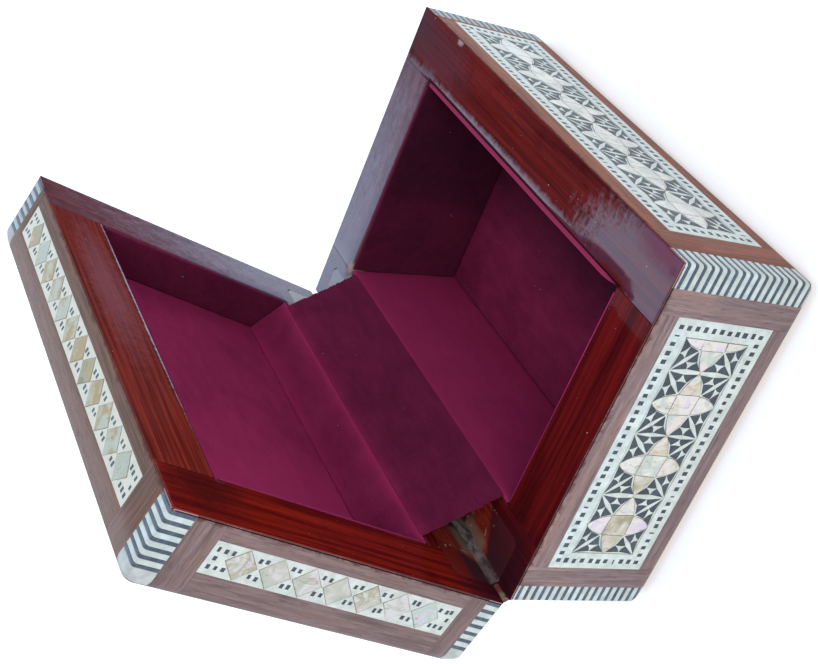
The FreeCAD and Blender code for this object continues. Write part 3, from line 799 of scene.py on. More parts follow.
def dark_wood(name, colours):
    """Wood stained black, a little worn to grey."""
    finish = Finish(name, {"Coat Roughness": 0.2, "IOR": 1.45})
    worn = finish.noise(0.35, 4.0, 0.65)
    cloud = finish.noise(2.5, 2.0)
    black = finish.mixed(*colours, (worn * 0.6 + cloud * 0.4).rise(0.34, 0.78))
    rough = 0.35 + 0.3 * worn
    normal = finish.bump(worn, 0.015 * mm, 0.6)
    return finish.surface(Base_Color=black, Roughness=rough, Coat_Weight=0.25 * cloud, Normal=normal)


cool_bone = (tint(178, 187, 183), tint(207, 215, 211))
warm_bone = (tint(176, 180, 173), tint(203, 207, 200))
grey_bone = (tint(164, 174, 172), tint(194, 203, 201))
bone_finishes = {
    "base": bone("polished_bone", cool_bone, base_edge, 0.0),
    "lid": bone("lid_bone", warm_bone, lid_edge, -shut_turn),
}
strip_bones = {
    "base": bone("strip_bone", grey_bone, base_edge, 0.0, strip_greying),
    "lid": bone("lid_strip_bone", grey_bone, lid_edge, -shut_turn, strip_greying),
}
end_grain = (tint(146, 152, 152), tint(178, 184, 182))
cap_bone = bone("cap_bone", end_grain, lid_edge, -shut_turn, strip_greying)
dark_finish = dark_wood("blue_black_wood", (tint(42, 52, 66), tint(90, 102, 116)))
tile_finish = dark_wood("green_black_wood", (tint(30, 41, 48), tint(70, 82, 92)))


def corner_path(inset, radius, leg_y):
    """Plan of a strip round the corner at +X +Y: along the long side, round the corner, along the end.

    inset and the corner's radius have one value for each row, and the plan has shape (rows, points, 2).
    """
    inset = inset[:, None]
    radius = radius[:, None]
    angle = np.linspace(math.pi / 2, 0, arc_steps)[None]
    share = np.linspace(0, 1, 4)[None]
    turn_x = half_length - inset - radius
    turn_y = half_depth - inset - radius
    arc_x = turn_x + radius * np.cos(angle)
    arc_y = turn_y + radius * np.sin(angle)
    legs_x = half_length - stripe_leg + share[:, :-1] * (turn_x - half_length + stripe_leg)
    legs_y = turn_y + share[:, 1:] * (half_depth - leg_y - turn_y)
    x = np.concatenate([legs_x, arc_x, half_length - inset + 0 * legs_y], axis=1)
    y = np.concatenate([half_depth - inset + 0 * legs_x, arc_y, legs_y], axis=1)
    return np.stack([x, y], axis=-1)


def corner_strips(spans, edge, radius, dip):
    """Strips at all four corners between the given heights, eased along both edges.

    The corner's own radius grows towards a ball where the edge of the box is rounded over.
    """
    parts = []
    shares = np.array([0.0, 0.25, 0.6, 1.0])
    for low, high in spans:
        between = np.linspace(low + strip_ease, high - strip_ease, 2 + int((high - low) / strip_row))
        z = np.concatenate([low + strip_ease * shares[:-1], between, high - strip_ease * shares[-2::-1]])
        drawn = round_over(z, edge, radius)
        inset = drawn + dip + ease(np.minimum(z - low, high - z), strip_ease)
        share = np.clip(drawn / head_inset, 0, 1)
        bend = (1 - share) * corner_round + share * (radius - drawn)
        for way_x, way_y in ((1, 1), (-1, 1), (-1, -1), (1, -1)):
            leg_y = stripe_leg_back if way_y > 0 else stripe_leg
            outer = corner_path(inset, bend, leg_y) * (way_x, way_y)
            inset_back = np.maximum(strip_depth, inset)
            inner = corner_path(inset_back, bend / 2, leg_y) * (way_x, way_y)
            turn = -1 if way_x * way_y > 0 else 1
            height = np.broadcast_to(z[:, None, None], (*outer.shape[:2], 1))
            face = np.concatenate([outer, height], axis=-1)[None, :, ::turn]
            back = np.concatenate([inner, height], axis=-1)[None, :, ::turn]
            spots, faces = slabs(face, back)
            parts.append((spots, faces, np.full(len(spots), most_warmth * chance.random())))
    return joined(parts)


def stack(rim, lip, far, count, first):
    """Height spans of the bone strips, and of the dark strip after each, from the rim to the far end.

    The first bone strip was cut down with the rim to the given share, and starts under the stain's lip.
    """
    lost = bone_share * (1 - first)
    pitch = (far - rim) / (count - lost)
    starts = rim + pitch * (np.arange(count) - lost)
    white = np.stack([starts, starts + pitch * bone_share], axis=-1)
    white[0, 0] = lip
    black = np.stack([white[:, 1], starts + pitch], axis=-1)
    return np.sort(white, axis=1), np.sort(black, axis=1)


base_lip = base_rim - rim_lip + lip_cover
lid_lip = lid_rim + rim_lip - lip_cover
base_stripe_end = base_foot + base_stripe_foot
lid_stripe_end = lid_head - lid_stripe_head
base_stack = stack(base_rim, base_lip, base_stripe_end, base_stripes, base_first_bone)
lid_stack = stack(lid_rim, lid_lip, lid_stripe_end, lid_stripes, lid_first_bone)
stacks = {"base": (base_stack, base_foot, base_round), "lid": (lid_stack, lid_head, lid_round)}
for body, ((white, black), edge, radius) in stacks.items():
    spots, faces, tone = corner_strips(white, edge, radius, 0.0)
    show(body + "_bone_stripes", body, spots, faces, [strip_bones[body]], "bone",
         [body + "_corner_bone_strips"], tone=tone)
    spots, faces, tone = corner_strips(black, edge, radius, dark_dip)
    show(body + "_dark_stripes", body, spots, faces, [dark_finish], "dark_wood",
         [body + "_corner_dark_strips"], tone=tone)

corner_ends = {
    "base_corner_feet": ("base", (foot_reach, base_stripe_end), base_foot, base_round),
    "lid_corner_caps": ("lid", (lid_stripe_end, lid_skin_head), lid_head, lid_round),
}
for name, (body, span, edge, radius) in corner_ends.items():
    spots, faces, tone = corner_strips([span], edge, radius, 0.0)
    show(name, body, spots, faces, [cap_bone], "bone", tone=np.full(len(spots), cap_tone))

# Inlay panels of the base: a bone field with dark tiles and pearl flowers let into it, in a bone border.
# Each flower is a heart and four petals, bedded in brown glue. Dark tiles leave white rays between them.
# Small dark dashes run round the border. All of it is scraped flush and varnished.

ground_top = -0.05 * mm
backing_top = 2.5 * ground_top
tile_top = -0.03 * mm
glue_top = tile_top + 0.01 * mm
border_top = -0.02 * mm
dash_top = -0.005 * mm
tile_foot = -0.14 * mm
tile_ease = 0.03 * mm
glue_reach = 0.11 * mm
field_gap = 0.10 * mm
heart_along = 1.7 * mm
heart_across = 1.95 * mm
heart_shrink = 0.04
petal_width = 0.86
petal_powers = (1.25, 1.9)
petal_point = 0.985
petal_curve = 0.8
tip_gap = 0.12 * mm
cell_length = 10.2 * mm
cell_height = 10.4 * mm
ray_push = 0.30
star_pull = 0.10
dash_pitch = 1.33 * mm
dash_inset = 1.33 * mm
dash_inset_rim = 1.10 * mm
dash_half = np.array([0.40, 0.34]) * mm
narrow_share = 0.06
narrow_width = 0.35
quarters = np.array([(1, 1), (-1, 1), (-1, -1), (1, -1)])
tile_box = np.array([[(-1, -1), (1, -1)], [(-1, 1), (1, 1)]])


def pearl(name, stops, lilac, gloss):
    """Mother of pearl: each tile has its own tone on a ramp, with soft lilac, green and amber clouds."""
    finish = Finish(name, {"Coat Roughness": 0.08, "IOR": 1.55, "Specular IOR Level": gloss})
    tone = finish.tone()
    cloud = finish.noise(2.6, 3.0, 0.55, 0.8)
    layer = finish.noise((0.5, 0.9, 2.5), 4.0, 0.6, 1.2)
    place = tone * 0.9 + (cloud - 0.5) * 0.7 + 0.05
    shell = finish.node("ValToRGB", {"stops": stops}, {0: place})
    shell = finish.mixed(shell, tint(204, 182, 206), cloud.rise(0.54, 0.72) * lilac)
    green = (layer * 0.5 + tone * 0.5).rise(0.68, 0.80)
    amber = (layer * 0.6 - tone * 0.3 + 0.3).rise(0.62, 0.72)
    shell = finish.mixed(shell, tint(150, 206, 186), green * (0.75 * lilac))
    shell = finish.mixed(shell, tint(196, 158, 104), amber * 0.4)
    shell = finish.mixed(shell, tint(132, 120, 94), layer.rise(0.44, 0.28) * 0.6)
    normal = finish.bump(layer + cloud, 0.05 * mm, 0.35)
    rough = 0.20 + 0.22 * layer
    return finish.surface(Base_Color=shell, Roughness=rough, Coat_Weight=gloss + 0.2 * cloud, Normal=normal)


def glue(name):
    """Brown glue and dirt in the seams."""
    finish = Finish(name, {"IOR": 1.45})
    blot = finish.noise(0.8, 3.0)
    brown = finish.mixed(tint(92, 84, 68), tint(142, 132, 108), blot.rise(0.35, 0.65))
    return finish.surface(Base_Color=brown, Roughness=0.45 + 0.3 * blot)


flower_shell = [
    (0.0, tint(146, 136, 108)),
    (0.12, tint(182, 172, 148)),
    (0.26, tint(214, 205, 196)),
    (0.40, tint(202, 184, 202)),
    (0.54, tint(216, 209, 197)),
    (0.68, tint(174, 184, 170)),
    (0.80, tint(212, 201, 193)),
    (0.90, tint(208, 182, 163)),
    (1.0, tint(166, 152, 118)),
]
lozenge_shell = [
    (0.0, tint(124, 116, 80)),
    (0.10, tint(152, 144, 112)),
    (0.20, tint(158, 130, 70)),
    (0.32, tint(170, 166, 144)),
    (0.44, tint(160, 170, 154)),
    (0.56, tint(180, 176, 162)),
    (0.68, tint(200, 194, 192)),
    (0.80, tint(160, 153, 122)),
    (0.90, tint(196, 186, 192)),
    (1.0, tint(172, 182, 170)),
]
pearl_finish = pearl("mother_of_pearl", flower_shell, 0.4, 0.35)
lozenge_finish = pearl("lozenge_pearl", lozenge_shell, 0.15, 0.1)
glue_finish = glue("seam_glue")


def plates(grids, top, foot):
    """Thin tiles from flat grids (count, rows, columns, 2): the face drawn in a little, the edge, the foot.

    A grid that would face inwards has its columns turned round, and one with next to no area is left out.
    """
    along = grids[:, 0, -1] - grids[:, 0, 0] + grids[:, -1, -1] - grids[:, -1, 0]
    up = grids[:, -1, 0] - grids[:, 0, 0] + grids[:, -1, -1] - grids[:, 0, -1]
    area = along[:, 0] * up[:, 1] - along[:, 1] * up[:, 0]
    grids = np.where(area[:, None, None, None] < 0, grids[:, :, ::-1], grids)
    grids = grids[np.abs(area) > (0.3 * mm) ** 2]
    drawn = grown(grids, -tile_ease)

    def at(flat, height):
        return np.concatenate([flat, np.full((*flat.shape[:3], 1), height)], axis=-1)

    spots, faces = slabs(at(drawn, top), at(grids, foot), [at(grids, top - tile_ease)])
    tone = np.repeat(chance.random(len(grids)), len(spots) // len(grids))
    return spots, faces, tone


def grown(grids, reach):
    """Flat grids made larger: each point moves away from the middle of its grid by the reach."""
    away = grids - grids.mean(axis=(1, 2), keepdims=True)
    length = np.linalg.norm(away, axis=-1, keepdims=True)
    return grids + away * (reach / np.maximum(length, 0.2 * mm))


def dark_corners(first, second, third):
    """Three dark tiles in a triangle, one at each corner, with rays along the edges and a star left white.

    A tile's corners are the triangle's corner, two edge middles pushed in, and a point near the centre.
    """
    centre = (first + second + third) / 3
    corners = [first, second, third]
    tiles = []
    for index in range(3):
        here = corners[index] + 0.08 * (centre - corners[index])
        edges = [(corners[index] + other) / 2 for other in (corners[index - 1], corners[index - 2])]
        edges = [edge + ray_push * (centre - edge) for edge in edges]
        inward = centre + 2 * star_pull * ((edges[0] + edges[1]) / 2 - centre) + star_pull * (here - centre)
        rows = [np.stack([here, edges[0]], axis=-2), np.stack([edges[1], inward], axis=-2)]
        tiles.append(np.stack(rows, axis=-3))
    return np.concatenate(tiles)


def flowers(field, centres, half_u, half_v):
    """Flat grids of a flower field: dark tiles, petals and hearts, cut off at the field's edges.

    A petal runs from the heart's edge to its tip. At the share t of its length it is as wide as (1 - t^p)^c
    of that edge, with one power p for petals along the field and one for those across it.
    """
    u0, u1, v0, v1 = field
    count = len(centres)
    half = np.array([half_u, half_v])
    middle = centres[:, None] + chance.normal(0, 0.05 * mm, (count, 1, 2))
    hearts = middle + quarters * (heart_along, heart_across) + chance.normal(0, 0.10 * mm, (count, 4, 2))
    tips = middle + np.array([(1, 0), (0, 1), (-1, 0), (0, -1)]) * (half - tip_gap)
    tips += chance.normal(0, 0.06 * mm, (count, 4, 2))
    outer = centres[:, None] + quarters * half
    dark = []
    petals = []
    share = np.linspace(0, 1, 9)[None, :, None, None]
    side = np.linspace(-1, 1, 5)[None, None, :, None]
    for index in range(4):
        side_tip = tips[:, 0] if quarters[index][0] > 0 else tips[:, 2]
        high_tip = tips[:, 1] if quarters[index][1] > 0 else tips[:, 3]
        dark.append(dark_corners(outer[:, index], hearts[:, index], side_tip))
        dark.append(dark_corners(outer[:, index], high_tip, hearts[:, index]))
        low, high = hearts[:, index - 1], hearts[:, index]
        base = ((low + high) / 2)[:, None, None]
        reach = ((high - low) / 2)[:, None, None] * petal_width
        width = (1 - petal_point * share ** petal_powers[index % 2]) ** petal_curve
        petals.append(base + share * (tips[:, index][:, None, None] - base) + side * reach * width)
    petals = np.concatenate(petals)
    hearts = (1 - heart_shrink) * hearts + heart_shrink * hearts.mean(axis=1, keepdims=True)
    hearts = np.stack([hearts[:, [2, 3]], hearts[:, [1, 0]]], axis=1)
    low = np.array([u0, v0])
    high = np.array([u1, v1])
    return [np.clip(grids, low, high) for grids in (np.concatenate(dark), petals, hearts)]


def border_strips(u0, u1, v0, v1):
    """Four mitred strips of a border, each eased along its edges, from the outer to the inner corners."""
    outer = np.array([(u0, v0), (u1, v0), (u1, v1), (u0, v1)])
    inner = outer + border_width * quarters
    share = np.array([0.0, 0.02, 0.98, 1.0])[None, :, None, None]
    grids = []
    for index in range(4):
        rows = outer[index - 1] + share[0] * (inner[index - 1] - outer[index - 1])
        ends = outer[index] + share[0] * (inner[index] - outer[index])
        grids.append(np.concatenate([rows, ends], axis=1))
    return np.stack(grids)


def dashes(u0, u1, v0, v1, rim_at_top):
    """Dark dashes round a border in one row on each strip. Now and then one is narrow."""
    left, right, low = u0 + dash_inset, u1 - dash_inset, v0 + dash_inset
    high = v1 - (dash_inset_rim if rim_at_top else dash_inset)
    rows = [((left, low), (right, low)), ((left, high), (right, high)),
            ((left, low), (left, high)), ((right, low), (right, high))]
    grids = []
    for start, end in np.array(rows):
        way = end - start
        count = round(np.linalg.norm(way) / dash_pitch)
        upright = way[1] > way[0]
        share = np.arange(1 if upright else 0, count if upright else count + 1) / count
        spots = start + share[:, None] * way + chance.normal(0, 0.035 * mm, (len(share), 2))
        size = dash_half[:: 1 if upright else -1] * chance.normal(1, 0.07, (len(share), 2))
        narrow = chance.random(len(share)) < narrow_share
        size[narrow, 1 if upright else 0] *= narrow_width
        grids.append(spots[:, None, None] + tile_box * size[:, None, None])
    return np.concatenate(grids)


def flower_panel(window, columns, rows, start_high, rim_at_top):
    """All the meshes of a flower panel, flat: ground, border, dashes, dark tiles, glue and pearl."""
    u0, u1, v0, v1 = window
    field = (u0 + border_width, u1 - border_width, v0 + border_width, v1 - border_width)
    half_u = (field[1] - field[0]) / columns / 2
    half_v = (field[3] - field[2]) / rows / 2
    run = half_u * (2 * np.arange(math.ceil(columns)) + 1)
    u = field[1] - run if start_high else field[0] + run
    v = field[2] + half_v * (2 * np.arange(rows) + 1)
    centres = np.stack(np.meshgrid(u, v), axis=-1).reshape(-1, 2)
    inside = np.array(field) + field_gap * np.array([1, -1, 1, -1])
    dark, petals, hearts = flowers(inside, centres, half_u, half_v)
    corner_grid = np.array([[(0, 2), (1, 2)], [(0, 3), (1, 3)]])
    ground = inside[corner_grid][None]
    backing = np.array(field)[corner_grid][None]
    low, high = inside[[0, 2]], inside[[1, 3]]
    bedding = [np.clip(grown(grids, glue_reach), low, high) for grids in (petals, hearts)]
    return {
        "ground": plates(ground, ground_top, -veneer_depth),
        "border": plates(border_strips(*window), border_top, -veneer_depth),
        "dashes": plates(dashes(*window, rim_at_top), dash_top, tile_foot),
        "dark": plates(dark, tile_top, tile_foot),
        "glue": joined([plates(backing, backing_top, -veneer_depth),
                        *[plates(grids, glue_top, tile_foot) for grids in bedding]]),
        "pearl": joined([plates(grids, 0.0, tile_foot) for grids in (petals, hearts)]),
    }


inlay_finishes = {"dashes": tile_finish, "dark": tile_finish, "glue": glue_finish}
inlay_slots = {
    **dict.fromkeys(("ground", "border"), "bone"),
    **dict.fromkeys(("dashes", "dark", "glue"), "dark_wood"),
    "pearl": "mother_of_pearl",
}
bone_tones = {"ground": 0.3, "border": 0.3}
front_shell_low = 0.56
front_shell_span = 0.20


def show_inlay(name, body, panels, stand_ins, shell):
    """One piece for each kind of mesh in some panels. Kinds without a finish of their own are bone."""
    finishes = {**inlay_finishes, "pearl": shell}
    for kind, parts in panels.items():
        spots, faces, tone = joined(parts)
        show(name + "_inlay_" + kind, body, spots, faces, [finishes.get(kind, bone_finishes[body])],
             inlay_slots[kind], stand_ins.get(kind, ()), tone=tone * bone_tones.get(kind, 1.0))


base_panels = {}
for side in upright_sides:
    window = windows["base"][side.name]
    cells = (window[1] - window[0] - 2 * border_width) / cell_length
    columns = max(1, round(cells - 0.5)) + 0.5 if side.along[1] else max(1, round(cells))
    for kind, (spots, faces, tone) in flower_panel(window, columns, 1, side.along[1] > 0, True).items():
        if kind == "pearl" and side is front_side:
            tone = front_shell_low + front_shell_span * tone
        base_panels.setdefault(kind, []).append((laid(spots, side), faces, tone))
base_stand_ins = {
    "ground": ["base_" + side.name + "_panel" for side in upright_sides],
    "border": ["base_panel_borders"],
    "pearl": ["base_pearl_flowers"],
}
show_inlay("base", "base", base_panels, base_stand_ins, pearl_finish)

# Inlay of the lid's sides: a narrow bone panel with a row of pearl lozenges, tip to tip.
# Pairs of dark dashes fill the triangles between them, and a few more stand at each end.

lozenge_end = 2.5 * mm
lozenge_pitch = 5.0 * mm
lozenge_gap = np.array([0.25, 0.15]) * mm
dash_pair = 1.0 * mm
dash_ends = np.array([0.95, 2.0, 3.05]) * mm
dash_row = 1.2 * mm
lone_dash = 1.0 * mm
pair_half = np.array([0.26, 0.36]) * mm
panel_gap = 0.05 * mm
front_ground_shade = 2.4


def lozenge_panel(window):
    """All the meshes of a lozenge panel, flat: ground, glue, pearl and dashes."""
    u0, u1, v0, v1 = window
    run = u1 - u0 - 2 * lozenge_end
    count = max(1, round(run / lozenge_pitch))
    pitch = run / count
    middle = (v0 + v1) / 2
    spots = u0 + lozenge_end + pitch * (np.arange(count) + 0.5)
    reach = np.array([pitch, v1 - v0]) / 2 - lozenge_gap
    corners = np.array([[(-1, 0), (0, -1)], [(0, 1), (1, 0)]]) * reach
    lozenges = np.stack([spots, np.full(count, middle)], axis=-1)[:, None, None] + corners
    lozenges = lozenges + chance.normal(0, 0.07 * mm, lozenges.shape)
    between = u0 + lozenge_end + pitch * np.arange(1, count)
    pairs = np.concatenate([between - dash_pair / 2, between + dash_pair / 2])
    row = np.concatenate([pairs, u0 + dash_ends, u1 - dash_ends])
    heights = (v0 + dash_row, v1 - dash_row)
    places = [np.stack([row, np.full(len(row), height)], axis=-1) for height in heights]
    places.append(np.array([(u0 + lone_dash, middle), (u1 - lone_dash, middle)]))
    places = np.concatenate(places)
    places = places + chance.normal(0, 0.06 * mm, places.shape)
    size = pair_half * chance.normal(1, 0.08, (len(places), 1, 1, 2))
    low = np.array([u0, v0]) + panel_gap
    high = np.array([u1, v1]) - panel_gap
    ground = np.array([[(u0, v0), (u1, v0)], [(u0, v1), (u1, v1)]])[None]
    return {
        "ground": plates(ground, ground_top, -veneer_depth),
        "dashes": plates(places[:, None, None] + tile_box * size, tile_top, tile_foot),
        "glue": plates(np.clip(grown(lozenges, 1.3 * glue_reach), low, high), tile_top, tile_foot),
        "pearl": plates(np.clip(lozenges, low, high), 0.0, tile_foot),
    }


lid_panels = {}
for side in upright_sides:
    for kind, (spots, faces, tone) in lozenge_panel(windows["lid"][side.name]).items():
        if kind == "pearl":
            tone = 0.5 * tone if side is front_side else 0.5 + 0.5 * tone
        # Painted shade: the lid front's bone ground is made darker and warmer by a high tone.
        if kind == "ground" and side is front_side:
            tone = front_ground_shade + 0 * tone
        lid_panels.setdefault(kind, []).append((laid(spots, side), faces, tone))
lid_stand_ins = {
    "ground": ["lid_" + side.name + "_panel" for side in upright_sides],
    "pearl": ["lid_pearl_lozenges"],
}
show_inlay("lid", "lid", lid_panels, lid_stand_ins, lozenge_finish)

# Top panel of the lid: the base's flower pattern in three rows, in bone, dark wood and pearl.
# It has the same border as the base's panels, and is let into the veneer of the top and scraped flush.

columns = max(1, round((top_window[1] - top_window[0] - 2 * border_width) / cell_length))
rows = max(1, round((top_window[3] - top_window[2] - 2 * border_width) / cell_height))
top_panels = {}
for kind, (spots, faces, tone) in flower_panel(top_window, columns, rows, False, False).items():
    top_panels[kind] = [(laid(spots, top_side), faces, tone)]
top_stand_ins = {
    "ground": ["lid_top_panel"],
    "border": ["lid_top_border"],
    "pearl": ["lid_top_pearl_flowers"],
}
show_inlay("lid_top", "lid", top_panels, top_stand_ins, pearl_finish)

# Velvet linings: burgundy velvet wrapped round thin cards and glued to the boards, floor and top last.
# The nap lies unevenly and holds a little lint; light and shade are painted into its colour. The cards at
# the back lean in to hide the hinge's nails.

card = 0.5 * mm
front_card = {"base": 0.95 * mm, "lid": 0.5 * mm}
card_round = 0.30 * mm
slip_run = 3.2 * mm
front_slip = 2.4 * mm
cloth_wave = 0.05 * mm


def velvet(name):
    """Velvet: a dense pile in two tones, patches where the nap lies over, and specks of lint.

    The tone attribute is painted light: from the shaded colour at 0 to the lit one at 1, over to a brighter
    painted highlight from 0.8 to 1.7, and to a pink painted highlight at an edge from 1.6 to 1.9.
    """
    settings = {"Sheen Weight": 0.12, "Sheen Roughness": 0.4, "Sheen Tint": tint(220, 60, 140), "IOR": 1.3,
                "Specular IOR Level": 0.05}
    finish = Finish(name, settings)
    tone = finish.tone()
    nap = finish.noise(9, 3.0, 0.6, 0.6)
    stroke = finish.noise((5, 1.6, 1.6), 3.0, 0.6, 0.4)
    pile = finish.noise(0.22, 3.0, 0.7)
    lint = finish.noise(0.55, 2.0, 0.5, 1.0).rise(0.765, 0.80)
    share = (nap * 0.4 + stroke * 0.3 + pile * 0.3).rise(0.25, 0.75)
    # Shaded and lit copies of the velvet: painted light.
    shaded = finish.mixed(tint(44, 16, 31), tint(72, 22, 42), share)
    lit = finish.mixed(tint(108, 25, 58), tint(147, 42, 82), share)
    cloth = finish.mixed(shaded, lit, tone)
    cloth = finish.mixed(cloth, tint(186, 54, 104), tone.rise(0.8, 1.7) * 0.9)
    cloth = finish.mixed(cloth, tint(124, 46, 72), tone.rise(1.6, 1.9) * 0.9)
    cloth = finish.mixed(cloth, tint(176, 150, 164), lint * 0.5)
    normal = finish.bump(pile + nap * 0.5, 0.10 * mm, 0.7)
    return finish.surface(Base_Color=cloth, Roughness=0.80 + 0.15 * pile, Normal=normal)


velvet_finish = velvet("burgundy_velvet")
# Painted light level of each card: 0 is shaded, 1 is lit.
base_card_light = {"floor": 0.62, "front": 0.15, "back": 1.22, "left": 0.4, "right": 0.15}
lid_card_light = {"top": 0.98, "front": 0.15, "back": 0.85, "left": 0.4, "right": 0.3}
card_light_levels = {"base": base_card_light, "lid": lid_card_light}
# Painted highlights on the cards' rounded top edges.
painted_edge_highlights = {"base_front": 1.85, "base_left": 1.6, "base_back": 0.0, "lid_left": 1.6, "lid_front": 0.0}
painted_edge_highlight = 0.3
# Painted highlights along the lid's folds.
painted_fold_highlights = {"lid_top": 0.35, "lid_back": 0.40}
fold_width = 1.2 * mm
front_shade = 0.65
shade_start = 4 * mm
shade_run = 11 * mm
left_glow = 0.38
glow_run = 26 * mm
card_step = 1.2 * mm


def painted_card_light(body, name, spots):
    """Painted light on a card: its light level, with a painted shadow towards the front in the base,
    and brighter painted light towards -X in the lid's top.
    """
    tone = np.full(spots.shape[:2], card_light_levels[body][name])
    if body == "base":
        tone = tone - front_shade * np.clip((shade_start - spots[..., 1]) / shade_run, 0, 1)
    if name == "top":
        tone = tone + left_glow * np.clip(-spots[..., 0] / glow_run, 0, 1)
    return np.clip(tone, 0, None)


def lining(name, body, corner, along, up, stands_for, rests_on, slip=0.0):
    """A covered card. The face is a grid from a corner, along and up it, eased at its edges and uneven.

    The face drops by a quarter circle at each edge, and two crossed sine waves lift it by a hair.
    slip is how far the top edge has slid down at the end of the along direction.
    """
    length = np.linalg.norm(along)
    height = np.linalg.norm(up)
    out = np.cross(along, up) / (length * height)
    steps = card_round * np.array([0.08, 0.3, 0.65, 1.0])
    a = lines(0, length, np.concatenate([steps, length - steps]), card_step)
    b = lines(0, height, np.concatenate([steps, height - steps]), card_step)
    a, b = np.meshgrid(a, b)
    edge = np.minimum(np.minimum(a, length - a), np.minimum(b, height - b))
    drop = ease(edge, card_round)
    phase = chance.uniform(0, 6.28, 4)
    wave = np.sin(a / (4.1 * mm) + phase[0]) * np.sin(b / (3.3 * mm) + phase[1])
    wave += np.sin(a / (9.7 * mm) + phase[2] + b / (7.9 * mm)) + np.sin(b / (5.6 * mm) + phase[3])
    lift = cloth_wave * (wave / 3 - 1) - drop
    kept = 1 - slip / height * np.clip(1 - (length - a) / slip_run, 0, 1) ** 1.5
    flat = corner + (a / length)[..., None] * along + (b * kept / height)[..., None] * up
    face = flat + lift[..., None] * out
    thickness = front_card[body] if "_front_" in name else card
    back = flat - thickness * out
    spots, faces = slabs(face[None], np.where((lift < -thickness)[..., None], face, back)[None])
    which = name.removesuffix("_velvet")
    # Painted highlights on the rounded edges and along the folds, added to the card's painted light.
    rubbed = painted_edge_highlights.get(which, painted_edge_highlight) * drop / card_round
    rubbed += painted_fold_highlights.get(which, 0.0) * np.exp(-edge / fold_width)
    tone = np.tile((painted_card_light(body, name.split("_")[1], flat) + rubbed).ravel(), 2)
    piece = show(name, body, spots, faces, [velvet_finish], "velvet", stands_for, tone=tone)
    return piece


def lined(body, rim, flat_name, edge_gaps):
    """The five cards of one half. Rows run from the flat card towards the rim."""
    low, high = shut_box(flat_name)
    way = 1 if body == "base" else -1
    floor = high[2] if body == "base" else low[2]
    card_x = inner_x - card
    face_front = inner_front + front_card[body]
    back_rim = inner_back - card
    back_foot = shut_box(body + "_back_lining")[0][1]
    corner = np.array([low[0] if way > 0 else high[0], low[1], floor])
    along = np.array([way * (high[0] - low[0]), 0, 0])
    up = np.array([0, high[1] - low[1], 0])
    flat_card = flat_name.replace("_lining", "_velvet")
    lining(flat_card, body, corner, along, up, [flat_name], body + "_front_rim_board")
    tops = {name: rim - way * gap for name, gap in edge_gaps.items()}
    faces = {
        "front": ((card_x, face_front, floor), (-2 * card_x, 0, 0), (0, 0, tops["front"] - floor)),
        "back": ((-card_x, back_foot, floor), (2 * card_x, 0, 0),
                 (0, (back_rim - back_foot) * (tops["back"] - floor) / (rim - floor), tops["back"] - floor)),
        "left": ((-card_x, face_front, floor), (0, back_rim - face_front, 0), (0, 0, tops["left"] - floor)),
        "right": ((card_x, back_rim, floor), (0, face_front - back_rim, 0), (0, 0, tops["right"] - floor)),
    }
    for name, (corner, along, up) in faces.items():
        corner, along, up = np.array(corner), np.array(along), np.array(up)
        if way < 0:
            corner, along = corner + along, -along
        slip = front_slip if (body, name) == ("base", "front") else 0.0
        name = body + "_" + name
        lining(name + "_velvet", body, corner, along, up, [name + "_lining"], name + "_rim_board", slip)


end_gaps = {"back": 0.15 * mm, "left": 0.20 * mm, "right": 0.20 * mm}
lined("base", base_rim, "base_floor_lining", {"front": 0.40 * mm, **end_gaps})
lined("lid", lid_rim, "lid_top_lining", {"front": 0.30 * mm, "back": 0.0, "left": 0.0, "right": 0.20 * mm})

# Hinge: a long brass piano hinge let into the back rims, with a steel pin and nails.
# It was stained over with the rims, so the leaves are dark red, and only the knuckles are rubbed bare.
# Past its left-hand end a rod of filler carries on the line of the knuckles towards the corner of the base.

strip_reach = shut_box("velvet_hinge_strip")[1][0] / mm
stain_end = (31.8, 33.0)
patina_end = (31.2, 29.6)
glue_end = (31.0, 30.0)
varnish_start = (22.0, 27.0)
filler_radius = 0.50 * mm
filler_out = 0.15 * mm
filler_low = 0.12 * mm
filler_short = 0.9 * mm
filler_depth = 1.3 * mm
filler_seat = 0.3 * mm
filler_start = shut_box("hinge_pin")[1][0] + 0.05 * mm


